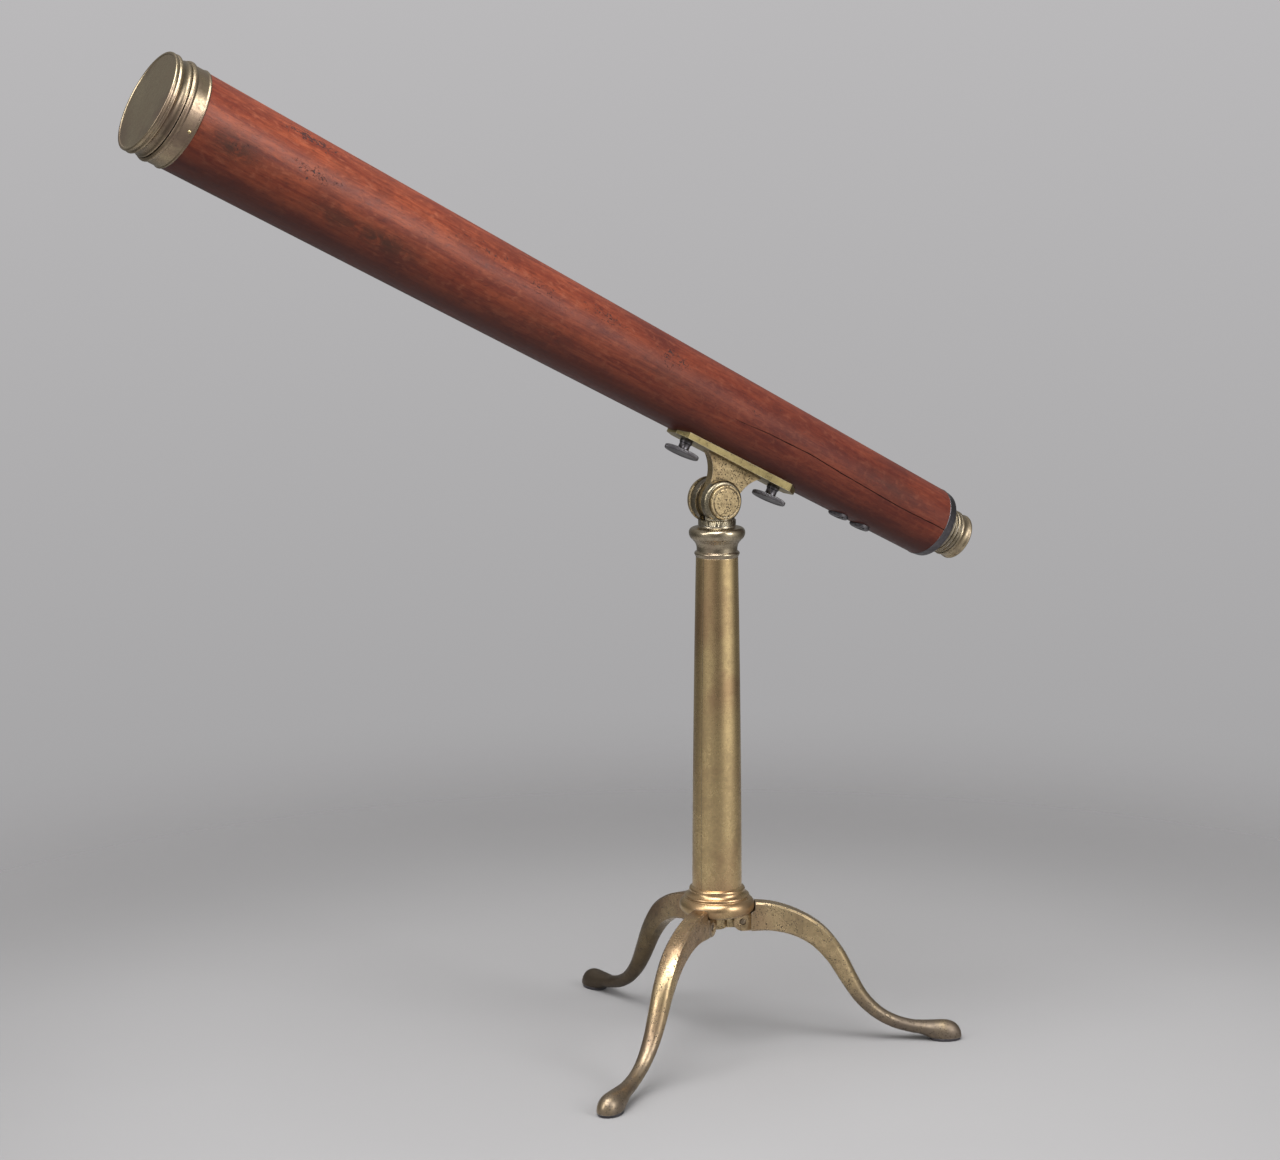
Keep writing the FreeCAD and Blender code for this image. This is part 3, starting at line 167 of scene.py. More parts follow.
class Surface(Nodes):
    """A node material being built."""

    def __init__(self, name):
        self.material = bpy.data.materials.new(name)
        super().__init__(self.material)
        self.shader = self.node("ShaderNodeBsdfPrincipled")
        self.surface = self.node("ShaderNodeOutputMaterial").inputs["Surface"]
        self.feed(self.surface, self.shader.outputs[0])
        coordinates = self.node("ShaderNodeTexCoord").outputs["Object"]
        self.place = self.vector("SCALE", coordinates, 1 / MM)
        self.x, self.y, self.z = self.split(self.place)

    def stretched(self, x, y, z):
        """The place in millimetres, divided by a length along each axis."""
        return self.vector("DIVIDE", self.place, (x, y, z))

    def noise(self, where, detail=3.0, rough=0.55, bend=0.0, shift=0.0):
        """Noise with a mean of 0.5, at a place already divided by its grain."""
        if shift:
            where = self.vector("ADD", where, (shift, shift * 0.7, -shift * 0.4))
        made = self.node("ShaderNodeTexNoise")
        self.feed(made.inputs["Vector"], where)
        made.inputs["Scale"].default_value = 1.0
        made.inputs["Detail"].default_value = detail
        made.inputs["Roughness"].default_value = rough
        made.inputs["Distortion"].default_value = bend
        return made.outputs[0]

    def cells(self, where):
        """Distance from the nearest of scattered points."""
        made = self.node("ShaderNodeTexVoronoi")
        self.feed(made.inputs["Vector"], where)
        made.inputs["Scale"].default_value = 1.0
        return made.outputs["Distance"]

    def attribute(self, name):
        return self.node("ShaderNodeAttribute", attribute_name=name).outputs["Fac"]

    def radius(self):
        """Distance from the object's Z axis."""
        squares = self.math("MULTIPLY_ADD", self.x, self.x, self.math("MULTIPLY", self.y, self.y))
        return self.math("SQRT", squares)

    def inverse(self, value):
        return self.math("SUBTRACT", 1.0, value)

    def crevice(self, reach):
        """1 on open surface, less in corners and grooves within reach millimetres."""
        made = self.node("ShaderNodeAmbientOcclusion", samples=8)
        made.inputs["Distance"].default_value = reach * MM
        return made.outputs["AO"]

    def edges(self, reach):
        """1 on edges within reach millimetres, 0 on smooth surface."""
        rounded = self.node("ShaderNodeBevel", samples=6)
        rounded.inputs["Radius"].default_value = reach * MM
        plain = self.node("ShaderNodeNewGeometry").outputs["Normal"]
        return self.ramp(self.vector("DOT_PRODUCT", rounded.outputs[0], plain), 0.992, 0.90)

    def bump(self, height, depth, below=None):
        """Relief of this depth in millimetres, over another relief if there is one."""
        made = self.node("ShaderNodeBump")
        made.inputs["Strength"].default_value = 1.0
        made.inputs["Distance"].default_value = depth * MM
        self.feed(made.inputs["Height"], height)
        if below is not None:
            self.feed(made.inputs["Normal"], below)
        return made.outputs[0]

    def set(self, **values):
        for name, value in values.items():
            socket = self.shader.inputs[name.replace("_", " ").strip()]
            if socket.type == "RGBA" and not isinstance(value, bpy.types.NodeSocket):
                value = (*value, 1)
            self.feed(socket, value)
        return self.material


# Sizes of the brass's marks, and the reach of its painted crevice shade, in millimetres.
CREVICE_REACH, EDGE_REACH = 2.2, 0.7
TURNING_MARKS, PIT_DEPTH = 0.35, 0.10
# The height below which a piece given a colour for its lowest parts is browner and rougher, fully so at the second
# figure.
BROWNER_BELOW = (70, 12)


def brass(name, clean, tarnish, grime_and_shade_colour, rough, turned=False, pits=0.0, filed=False, low_colour=None):
    """Aged brass, from colours for clean, tarnished and grimy brass and for its lowest parts, and
    rough, the range of roughness. turned adds a lathe's fine rings, filed adds file strokes, and
    pits says how much of the surface is pitted. The grimy colour also paints shade: into crevices
    and grooves, mixed with real grime, and where the shade attribute asks, which is a real dark
    seam on the pillar and painted shade on other pieces."""
    s = Surface(name)
    broad = s.noise(s.stretched(26, 26, 34), 5, 0.62, 0.4)
    fine = s.noise(s.stretched(3.2, 3.2, 3.8), 4, 0.6, 0.2, 7.0)
    speck = s.noise(s.stretched(0.7, 0.7, 0.7), 2, 0.5, 0.0, 3.0)
    dull = s.ramp(s.math("MULTIPLY_ADD", fine, 0.45, s.math("MULTIPLY", broad, 0.75)), 0.42, 0.82)
    # Painted shade: crevices and grooves darken towards the grimy colour by ambient occlusion, mixed with real
    # grime.
    open_air = s.crevice(CREVICE_REACH)
    grime_and_shade = s.inverse(s.ramp(open_air, 0.35, 0.92))
    grime_and_shade = s.math("MULTIPLY", grime_and_shade, s.ramp(fine, 0.25, 0.65, 0.55, 1.0))
    colour = s.blend(dull, clean, tarnish)
    cloud = s.noise(s.stretched(48, 48, 70), 3, 0.55, 0.5, 15.0)
    old = tuple(share * value for share, value in zip((0.92, 0.74, 0.80), tarnish))
    colour = s.blend(s.ramp(cloud, 0.46, 0.68, 0.0, 0.55), colour, old)
    colour = s.blend(s.math("MULTIPLY", s.ramp(speck, 0.56, 0.74), 0.35), colour, grime_and_shade_colour)
    edge = s.math("MULTIPLY", s.edges(EDGE_REACH), s.ramp(fine, 0.30, 0.62, 0.25, 0.95))
    relief = s.bump(fine, 0.014)
    relief = s.bump(speck, 0.003, relief)
    if turned:
        ring_place = s.join(
            s.math("DIVIDE", s.radius(), TURNING_MARKS),
            s.math("DIVIDE", s.z, TURNING_MARKS),
            s.math("MULTIPLY", s.math("ARCTAN2", s.y, s.x), 0.8),
        )
        rings = s.noise(ring_place, 3, 0.6, 0.0, 11.0)
        relief = s.bump(rings, 0.003, relief)
        colour = s.blend(s.math("MULTIPLY", s.ramp(rings, 0.5, 0.8), 0.22), colour, grime_and_shade_colour)
    if filed:
        strokes = s.noise(s.stretched(0.5, 5.0, 0.9), 3, 0.6, 0.6, 5.0)
        relief = s.bump(strokes, 0.012, relief)
    if pits:
        ragged = s.vector("ADD", s.place, s.vector("SCALE", s.join(fine, speck, fine), 1.1))
        patch = s.noise(s.stretched(5.5, 5.5, 5.5), 3, 0.5, 0.0, 21.0)
        where = s.ramp(patch, 0.62 - 0.2 * pits, 0.70 - 0.2 * pits)
        spot = s.cells(s.vector("DIVIDE", ragged, (1.5, 1.5, 1.5)))
        hole = s.math("MULTIPLY", s.inverse(s.ramp(spot, 0.24, 0.38)), where)
        tiny = s.cells(s.vector("DIVIDE", ragged, (0.8, 0.8, 0.8)))
        tiny = s.inverse(s.ramp(tiny, 0.16, 0.30))
        tiny = s.math("MULTIPLY", tiny, s.ramp(patch, 0.66 - 0.3 * pits, 0.74 - 0.3 * pits))
        hole = s.math("MAXIMUM", hole, s.math("MULTIPLY", tiny, 0.7))
        relief = s.bump(s.inverse(hole), PIT_DEPTH, relief)
        grime_and_shade = s.math("MAXIMUM", grime_and_shade, hole)
    if low_colour is not None:
        low = s.math("MULTIPLY", s.ramp(s.z, *BROWNER_BELOW), s.ramp(broad, 0.3, 0.6, 0.55, 0.9))
        colour = s.blend(low, colour, low_colour)
    # Painted shade where the shade attribute asks, and a real dark seam on the pillar.
    colour = s.blend(s.math("MULTIPLY", s.attribute("shade"), 0.85), colour, grime_and_shade_colour)
    # Grime and painted shade in crevices and grooves, and dark pits.
    colour = s.blend(grime_and_shade, colour, grime_and_shade_colour)
    worn = tuple(0.35 + 0.65 * value for value in clean)
    colour = s.blend(s.math("MULTIPLY", edge, open_air), colour, worn)
    roughness = s.ramp(s.math("ADD", dull, s.math("MULTIPLY", grime_and_shade, 0.8)), 0.0, 1.3, *rough)
    if low_colour is not None:
        roughness = s.math("MULTIPLY_ADD", low, 0.16, roughness)
    metal = s.math("MULTIPLY_ADD", grime_and_shade, -0.55, 1.0)
    return s.set(Base_Color=colour, Metallic=metal, Roughness=roughness, Normal=relief)


# Stations between which painted shade makes the wood darker towards the eye end.
SHADED_EYE_END = (560, 240)


def mahogany():
    """French-polished wood of the barrel: streaks, pores, stains, dings and a crack, with painted
    shade underneath, towards the eye end and in corners and grooves. The mesh's attributes say
    where it is knocked, stained and cracked, and where the underside's painted shade goes."""
    s = Surface("Mahogany")
    ribbon = s.noise(s.stretched(5.5, 5.5, 75), 4, 0.6, 0.8)
    streak = s.noise(s.stretched(1.1, 1.1, 13), 4, 0.62, 0.5, 4.0)
    cloud = s.noise(s.stretched(38, 38, 60), 4, 0.6, 0.5, 9.0)
    pore = s.noise(s.stretched(0.33, 0.33, 4.2), 2, 0.5, 0.1, 13.0)
    mottle = s.noise(s.stretched(4.2, 4.2, 7.0), 4, 0.62, 0.4, 17.0)
    colour = s.blend(s.ramp(ribbon, 0.3, 0.7), (0.31, 0.072, 0.032), (0.165, 0.031, 0.017))
    colour = s.blend(s.ramp(streak, 0.35, 0.75, 0.0, 0.5), colour, (0.085, 0.018, 0.012))
    colour = s.blend(s.ramp(cloud, 0.38, 0.75, 0.0, 0.7), colour, (0.075, 0.019, 0.015))
    colour = s.blend(s.ramp(mottle, 0.5, 0.75, 0.0, 0.5), colour, (0.34, 0.105, 0.055))
    colour = s.blend(s.ramp(mottle, 0.46, 0.26, 0.0, 0.45), colour, (0.065, 0.016, 0.013))
    # Painted shade: darker towards the eye end.
    colour = s.blend(s.ramp(s.z, *SHADED_EYE_END, 0.0, 0.42), colour, (0.060, 0.010, 0.009))
    # Painted shade on the barrel's underside.
    colour = s.blend(s.attribute("under_shade"), colour, (0.045, 0.010, 0.008))
    pores = s.ramp(pore, 0.62, 0.72)
    colour = s.blend(s.math("MULTIPLY", pores, 0.75), colour, (0.05, 0.015, 0.012))
    knocked = s.attribute("knocked")
    fleck = s.noise(s.stretched(2.3, 2.3, 3.4), 4, 0.66, 1.0, 23.0)
    limit = s.math("MULTIPLY_ADD", knocked, -0.27, 0.71)
    ding = s.ramp(s.math("SUBTRACT", fleck, limit), 0.0, 0.05)
    stain = s.attribute("stained")
    blots = s.noise(s.stretched(7, 7, 12), 4, 0.65, 0.8, 31.0)
    smear = s.math("MULTIPLY", stain, s.ramp(blots, 0.28, 0.54))
    colour = s.blend(s.math("MULTIPLY", smear, 0.85), colour, (0.048, 0.024, 0.018))
    colour = s.blend(s.math("MULTIPLY", ding, 0.85), colour, (0.028, 0.018, 0.020))
    # Painted shade: darker in corners and grooves, by ambient occlusion.
    open_air = s.crevice(4.0)
    colour = s.blend(s.ramp(open_air, 0.85, 0.35, 0.0, 0.7), colour, (0.035, 0.014, 0.010))
    crack = s.attribute("crack")
    colour = s.blend(crack, colour, (0.012, 0.006, 0.005))
    scuff = s.ramp(s.noise(s.stretched(1.4, 1.4, 3.0), 4, 0.7, 0.3, 41.0), 0.70, 0.76)
    scuff = s.math("MULTIPLY", scuff, s.ramp(knocked, 0.1, 0.6))
    colour = s.blend(s.math("MULTIPLY", scuff, 0.55), colour, (0.50, 0.26, 0.18))
    relief = s.bump(s.inverse(pores), 0.02)
    relief = s.bump(mottle, 0.10, relief)
    relief = s.bump(s.inverse(ding), 0.15, relief)
    rough = s.ramp(mottle, 0.3, 0.7, 0.34, 0.46)
    rough = s.math("ADD", rough, s.math("MULTIPLY", s.math("MAXIMUM", ding, crack), 0.25))
    s.set(Base_Color=colour, Roughness=rough, Normal=relief)
    return s.set(
        Specular_IOR_Level=0.20, Coat_Weight=0.08, Coat_Roughness=0.34, Coat_IOR=1.5
    )


def bare_wood():
    s = Surface("BareWood")
    grain = s.noise(s.stretched(1.5, 1.5, 30), 4, 0.6, 0.4)
    colour = s.blend(s.ramp(grain, 0.3, 0.7), (0.40, 0.25, 0.13), (0.24, 0.13, 0.06))
    return s.set(Base_Color=colour, Roughness=s.ramp(grain, 0.3, 0.7, 0.6, 0.75),
                 Normal=s.bump(grain, 0.08))


def blackened():
    s = Surface("BlackenedBrass")
    wear = s.noise(s.stretched(3, 3, 3), 4, 0.6)
    colour = s.blend(s.ramp(wear, 0.55, 0.75), (0.018, 0.017, 0.016), (0.09, 0.075, 0.05))
    return s.set(Base_Color=colour, Roughness=s.ramp(wear, 0.3, 0.7, 0.45, 0.6),
                 Metallic=0.6, Normal=s.bump(wear, 0.02))


def optical_glass():
    s = Surface("OpticalGlass")
    dust = s.noise(s.stretched(2.0, 2.0, 2.0), 4, 0.7)
    rough = s.ramp(dust, 0.5, 0.8, 0.015, 0.10)
    s.set(Base_Color=(0.92, 0.96, 0.94), Roughness=rough)
    return s.set(Transmission_Weight=1.0, IOR=1.52)


MATERIALS = {
    "mahogany": mahogany(),
    "turned_wood": bare_wood(),
    "aged_brass": brass(
        "AgedBrass", (0.74, 0.555, 0.285), (0.47, 0.345, 0.185), (0.085, 0.062, 0.035),
        (0.24, 0.42), turned=True,
    ),
    "grey_brass": brass(
        "GreyBrass", (0.50, 0.425, 0.30), (0.25, 0.205, 0.145), (0.070, 0.055, 0.038),
        (0.22, 0.42), turned=True,
    ),
    "cap_brass": brass(
        "CapBrass", (0.54, 0.44, 0.28), (0.27, 0.215, 0.155), (0.070, 0.058, 0.042),
        (0.26, 0.50), turned=True,
    ),
    "cast_brass": brass(
        "CastBrass", (0.66, 0.51, 0.285), (0.27, 0.20, 0.11), (0.026, 0.017, 0.010),
        (0.27, 0.46), pits=1.0, filed=True,
    ),
    "leg_brass": brass(
        "LegBrass", (0.66, 0.50, 0.28), (0.36, 0.27, 0.16), (0.060, 0.044, 0.028),
        (0.25, 0.44), pits=0.7, filed=True, low_colour=(0.19, 0.155, 0.125),
    ),
    "worn_brass": brass(
        "WornBrass", (0.36, 0.31, 0.215), (0.17, 0.145, 0.10), (0.060, 0.046, 0.028),
        (0.24, 0.44), pits=0.6,
    ),
    "gilt_brass": brass(
        "GiltBrass", (0.46, 0.375, 0.175), (0.27, 0.215, 0.10), (0.10, 0.075, 0.035),
        (0.30, 0.46), filed=True, pits=0.4,
    ),
    "dark_brass": brass(
        "DarkBrass", (0.165, 0.155, 0.165), (0.070, 0.066, 0.074), (0.020, 0.018, 0.020),
        (0.30, 0.50), turned=True,
    ),
    "plain_brass": brass(
        "PlainBrass", (0.72, 0.58, 0.31), (0.50, 0.39, 0.20), (0.12, 0.09, 0.05),
        (0.20, 0.36), turned=True,
    ),
    "blackened_brass": blackened(),
    "optical_glass": optical_glass(),
}


# Mesh making

OUT, IN, UP, DOWN = Vector((1, 0)), Vector((-1, 0)), Vector((0, 1)), Vector((0, -1))


def outline(corners, arc_step=0.5, step=None):
    """Points of a closed outline of (radius, height) corners. A corner with a side and a
    radius ends an arc that bulges to that side; step divides long straight runs."""
    points = []
    for index, corner in enumerate(corners):
        start, end = Vector(corners[index - 1][:2]), Vector(corner[:2])
        chord = end - start
        if len(corner) > 2:
            side, radius = corner[2:]
            normal = Vector((-chord.y, chord.x)).normalized()
            if normal.dot(side) < 0:
                normal = -normal
            half = chord.length / 2
            centre = (start + end) / 2 - normal * math.sqrt(max(radius**2 - half**2, 0))
            opening = 2 * math.asin(min(half / radius, 1))
            parts = max(4, math.ceil(radius * opening / arc_step))
            for part in range(1, parts):
                share = part / parts
                turn = opening * (share - 0.5)
                along = chord.normalized()
                points.append(centre + normal * radius * math.cos(turn)
                              + along * radius * math.sin(turn))
        elif step and chord.length > step * 1.5:
            parts = round(chord.length / step)
            points += [start + chord * part / parts for part in range(1, parts)]
        points.append(end)
    return points


def even_angles(count):
    return [2 * math.pi * number / count for number in range(count)]


def sew(made, low, high, closed=True):
    """Makes the faces between two rows of as many vertices."""
    for index in range(len(low) if closed else len(low) - 1):
        after = (index + 1) % len(low)
        made.faces.new((low[index], low[after], high[after], high[index]))


def lathe(name, corners, place, angles=128, shape=None, step=None, fields=None):
    """A closed turned mesh. shape(radius, height, angle) may move a vertex and returns
    its radius and height; fields(name) are vertex attributes of the same arguments."""
    angles = even_angles(angles) if isinstance(angles, int) else angles
    rim = outline(corners, step=step)
    mesh = bpy.data.meshes.new(name)
    made = bmesh.new()
    layers = {key: made.verts.layers.float.new(key) for key in (fields or {})}
    rings = []
    for point in rim:
        ring = []
        for angle in angles if point.x > 1e-6 else angles[:1]:
            radius, height = point
            if shape is not None and radius > 1e-6:
                radius, height = shape(radius, height, angle)
            vertex = made.verts.new((
                radius * math.cos(angle) * MM, radius * math.sin(angle) * MM, height * MM
            ))
            for key, layer in layers.items():
                vertex[layer] = fields[key](point.x, point.y, angle)
            ring.append(vertex)
        rings.append(ring)
    for low, high in zip(rings, rings[1:] + rings[:1]):
        if len(low) == len(high) > 1:
            sew(made, low, high)
        elif len(low) != len(high):
            ring, middle = (high, low[0]) if len(low) == 1 else (low, high[0])
            for index, vertex in enumerate(ring):
                made.faces.new((vertex, ring[(index + 1) % len(ring)], middle))
    return solid(name, made, mesh, place)


def solid(name, made, mesh, place):
    bmesh.ops.recalc_face_normals(made, faces=made.faces)
    for face in made.faces:
        face.smooth = True
    made.to_mesh(mesh)
    made.free()
    piece = bpy.data.objects.new(name, mesh)
    bpy.context.scene.collection.objects.link(piece)
    piece.matrix_world = place
    return piece


def soften(piece, width, angle=32):
    """Rounds the piece's hard edges a little, as turning and handling do."""
    edge = piece.modifiers.new("Edges", "BEVEL")
    edge.width = width * MM
    edge.segments = 2
    edge.limit_method = "ANGLE"
    edge.angle_limit = math.radians(angle)
    weigh = piece.modifiers.new("Normals", "WEIGHTED_NORMAL")
    weigh.keep_sharp = True
    weigh.weight = 60


def plant(piece):
    """Moves the piece's place into its mesh."""
    piece.data.transform(piece.matrix_basis)
    piece.matrix_world = Matrix.Identity(4)


def settle(piece, body, finish, nodes=(), edge=0.18, edge_angle=32):
    """Gives a new piece its edges, material, body and the CAD nodes it stands for."""
    if edge:
        soften(piece, edge, edge_angle)
    piece.data.materials.clear()
    piece.data.materials.append(MATERIALS[finish])
    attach(piece, body)
    if nodes:
        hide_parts(*nodes)
    return piece


# Camera, light and floor

CAMERA_PLACE = Vector((-1.1665, -1.917, 0.7393))
CAMERA_BEARING, CAMERA_PITCH, CAMERA_ROLL = -29.78, 9.16, -0.24
LENS_PIXELS, PICTURE_WIDTH, SENSOR = 2900.0, 1280.0, 36.0


def make_camera():
    data = bpy.data.cameras.new("Camera")
    data.sensor_fit = "HORIZONTAL"
    data.sensor_width = SENSOR
    data.lens = SENSOR * LENS_PIXELS / PICTURE_WIDTH
    data.clip_start, data.clip_end = 0.05, 60
    camera = bpy.data.objects.new("Camera", data)
    bpy.context.scene.collection.objects.link(camera)
    bearing, pitch = math.radians(CAMERA_BEARING), math.radians(CAMERA_PITCH)
    forward = Vector((
        -math.sin(bearing) * math.cos(pitch), math.cos(bearing) * math.cos(pitch), -math.sin(pitch)
    ))
    turn = forward.to_track_quat("-Z", "Y").to_matrix().to_4x4()
    camera.matrix_world = Matrix.Translation(CAMERA_PLACE) @ turn @ spin(CAMERA_ROLL, "Z")
    bpy.context.scene.camera = camera


TOWARDS_CAMERA = math.degrees(math.atan2(CAMERA_PLACE.y, CAMERA_PLACE.x))
RIGHT_SIDE, LEFT_SIDE = TOWARDS_CAMERA + 58, TOWARDS_CAMERA - 55
LIGHTS_AIM = Vector((-0.05, 0, 0.42))
# The backdrop's colours, and the rise, as a sine, over which it goes from low to high. The darker low colour is
# painted shade where the backdrop meets the floor.
BACKDROP_HIGH, BACKDROP_LOW = (0.50, 0.492, 0.500), (0.375, 0.370, 0.376)
BACKDROP_RISE = (-0.24, 0.06)


def heading(bearing, rise):
    """A unit vector at a bearing in degrees from +X and a rise in degrees."""
    b, r = math.radians(bearing), math.radians(rise)
    return Vector((math.cos(b) * math.cos(r), math.sin(b) * math.cos(r), math.sin(r)))


def area_light(name, bearing, rise, distance, width, height, power):
    """A soft panel aimed at the object."""
    out = heading(bearing, rise)
    data = bpy.data.lights.new(name, "AREA")
    data.shape = "RECTANGLE"
    data.size, data.size_y = width, height
    data.energy = power
    light = bpy.data.objects.new(name, data)
    bpy.context.scene.collection.objects.link(light)
    light.location = LIGHTS_AIM + out * distance
    light.rotation_mode = "QUATERNION"
    light.rotation_quaternion = (-out).to_track_quat("-Z", "Y")
    light.visible_camera = False


# The room that the brass reflects: bearing, rise, how narrow, brightness.
GLOWS = [
    (RIGHT_SIDE, -4, 6.5, 0.92),
    (LEFT_SIDE + 12, -4, 5.0, 0.40),
    (TOWARDS_CAMERA + 180, 0, 2.0, 0.10),
    (LEFT_SIDE, 80, 1.5, 0.42),
]
ROOM_DARK, ROOM_TINT = 0.11, (1.0, 0.985, 0.965, 1)


def make_world():
    """A pale backdrop that the camera sees, and a studio's soft glows that light the object."""
    world = bpy.data.worlds.new("Studio")
    bpy.context.scene.world = world
    w = Nodes(world)
    direction = w.node("ShaderNodeTexCoord").outputs["Generated"]
    total = ROOM_DARK
    for bearing, rise, narrow, strength in GLOWS:
        facing = w.vector("DOT_PRODUCT", direction, heading(bearing, rise))
        share = w.math("POWER", w.math("MAXIMUM", facing, 0.0), narrow)
        total = w.math("ADD", w.math("MULTIPLY", share, strength), total)
    room, paper = w.node("ShaderNodeBackground"), w.node("ShaderNodeBackground")
    w.feed(room.inputs["Color"], ROOM_TINT)
    w.feed(room.inputs["Strength"], total)
    height = w.ramp(w.split(direction)[2], *BACKDROP_RISE, kind="LINEAR")
    w.feed(paper.inputs["Color"], w.blend(height, BACKDROP_LOW, BACKDROP_HIGH))
    seen = w.node("ShaderNodeLightPath").outputs["Is Camera Ray"]
    w.feed(w.node("ShaderNodeOutputWorld").inputs["Surface"], w.mixed(seen, room, paper))


FLOOR_RADIUS = 2400
FADE = (380, 1350)  # where the floor starts and ends fading, from the pillar


def make_floor():
    """A pale round sheet that fades into the backdrop."""
    sheet = [(0, 0), (FLOOR_RADIUS, 0), (FLOOR_RADIUS, -4), (0, -4)]
    floor = lathe("Floor", sheet, STAND, 96)
    s = Surface("Floor")
    tone = s.noise(s.stretched(420, 420, 420), 3, 0.5)
    paper = s.blend(tone, (0.335, 0.33, 0.335), (0.365, 0.36, 0.365))
    s.set(Base_Color=paper, Roughness=0.8, Specular_IOR_Level=0.1)
    clear = s.node("ShaderNodeBsdfTransparent")
    s.feed(s.surface, s.mixed(s.ramp(s.radius(), *FADE), s.shader, clear))
    floor.data.materials.append(s.material)


def make_studio():
    make_world()
    make_floor()
    area_light("RightPanel", RIGHT_SIDE, 26, 2.6, 0.9, 1.6, 30)
    area_light("LeftPanel", LEFT_SIDE, 24, 2.8, 0.8, 1.4, 15)
    area_light("TopPanel", LEFT_SIDE + 30, 66, 2.4, 2.0, 2.0, 80)
    bpy.context.scene.view_settings.view_transform = "Standard"


# Stand

FOLD_AXES = {side: JOINTS[f"leg_fold_{side}"]["axis"] for side in ("right", "rear", "left")}
LEG_BEARINGS = {side: math.atan2(-axis[0], axis[1]) for side, axis in FOLD_AXES.items()}

SEAM_BEARING, SEAM_DEPTH = math.radians(-160.8), 0.16


def angles_with(dense_from, dense_to, fine, coarse):
    """Angles in degrees around a turning, closer together in one sector, as radians."""
    found = []
    angle = dense_from
    while angle < dense_to:
        found.append(angle)
        angle += fine
    rest = 360 - (angle - dense_from)
    parts = round(rest / coarse)
    found += [angle + rest * number / parts for number in range(parts)]
    return [math.radians(value) for value in found]


def make_pillar():
    seam = math.degrees(SEAM_BEARING)

    def from_seam(radius, angle):
        return abs((angle - SEAM_BEARING + math.pi) % (2 * math.pi) - math.pi) * radius

    def seam_shape(radius, height, angle):
        wander = 0.5 + 0.5 * noise.noise((height / 23, 3.1, 0))
        groove = SEAM_DEPTH * wander * (1 - smooth(0.05, 0.26, from_seam(radius, angle)))
        return radius - groove, height

    def seam_field(radius, height, angle):
        return 1 - smooth(0.1, 0.34, from_seam(radius, angle))

    tube = lathe("pillar", [
        (17.95, 122), (19.75, 122), (16.6, 396, OUT, 19000), (14.8, 396), (14.8, 385),
    ], STAND, angles_with(seam - 1.6, seam + 1.6, 0.2, 2.4), seam_shape,
        fields={"shade": seam_field})
    settle(tube, "stand", "aged_brass", ["pillar_tube"])
    capital = lathe("capital", [
        (9.05, 421.2), (14.6, 421.2), (14.9, 420), (19.4, 419.2), (22.1, 415.4, OUT, 4),
        (19.2, 409.8, OUT, 6.4), (18.9, 409.2), (16, 403, IN, 8.5), (16, 400.6), (16.9, 400.4),
        (17.2, 400.0), (17.2, 397.6, OUT, 1.5), (16.6, 396), (14.8, 396), (14.8, 385),
        (5.05, 385), (5.05, 404.9), (9.05, 404.9),
    ], STAND, 144)
    settle(capital, "stand", "grey_brass", ["pillar_capital"])
    moulding = lathe("moulding", [
        (8.2, 109.9), (26, 109.9), (30, 115.8, OUT, 6.4), (25.8, 122.0, OUT, 6.6),
        (25.5, 122.4), (25.9, 123.5), (25.5, 124.5), (22, 127.9, IN, 4.6),
        (21.4, 130.5, OUT, 2.2), (19.75, 131.4), (19.75, 122), (8.2, 122),
    ], STAND, 160)
    settle(moulding, "stand", "aged_brass", ["base_moulding"])


# Legs. Stations down a leg: distance from the pillar's axis, height, half its depth, half
# its width, and how round its section is, from 0, chamfered, to 1.
LEG_STATIONS = [
    (27.2, 106.0, 11.9, 6.4, 0.0),
    (44.0, 105.0, 10.9, 6.6, 0.0),
    (62.8, 99.5, 9.7, 7.1, 0.08),
    (80.4, 88.9, 9.1, 7.7, 0.28),
    (94.9, 72.2, 8.1, 8.0, 0.55),
    (105.8, 53.4, 7.1, 7.8, 0.8),
    (116.3, 36.7, 6.1, 7.0, 0.95),
    (129.2, 23.8, 5.4, 6.1, 1.0),
    (142.8, 15.9, 5.2, 5.7, 1.0),
    (156.6, 11.6, 5.2, 6.3, 1.0),
    (166.0, 10.1, 5.8, 7.4, 1.0),
    (175.0, 7.6, 8.2, 8.9, 1.0),
    (184.5, 5.0, 10.9, 9.6, 1.0),
    (190.5, 4.0, 10.4, 8.7, 1.0),
    (194.6, 3.4, 8.1, 6.6, 1.0),
    (197.0, 3.0, 4.6, 3.9, 1.0),
    (197.8, 2.8, 1.2, 1.2, 1.0),
]
FOOT_MIDDLE, FOOT_HALF_LENGTH, FOOT_HALF_WIDTH = 184.5, 13.3, 9.7
FOOT_BEGINS, SOLE_TOP = 160.0, 2.4
CHAMFER, CHAMFER_GROWTH = 1.3, 1.9
ROOT_CLEARANCE, ROOT_TOP = 30.35, 109.55
# One leg has painted shade, far darker than the others, from these distances outwards.
SHADED_LEG, SHADE_FROM, PAINTED_LEG_SHADE = "rear", (35, 100), 0.85


def curve_through(rows, steps):
    """Rows of numbers joined by a smooth curve, with steps between each pair."""
    found = []
    for index in range(len(rows) - 1):
        p = [rows[max(min(index + k, len(rows) - 1), 0)] for k in (-1, 0, 1, 2)]
        for step in range(steps):
            t = step / steps
            found.append(tuple(
                0.5 * (2 * b + (c - a) * t + (2 * a - 5 * b + 4 * c - d) * t * t
                       + (3 * b - a - 3 * c + d) * t**3)
                for a, b, c, d in zip(*p)
            ))
    found.append(tuple(rows[-1]))
    return found


# Where the corners of the chamfered section go on the round one, in degrees from level.
ROUND_CORNERS = (38, 58)
FLAT_PARTS = 6


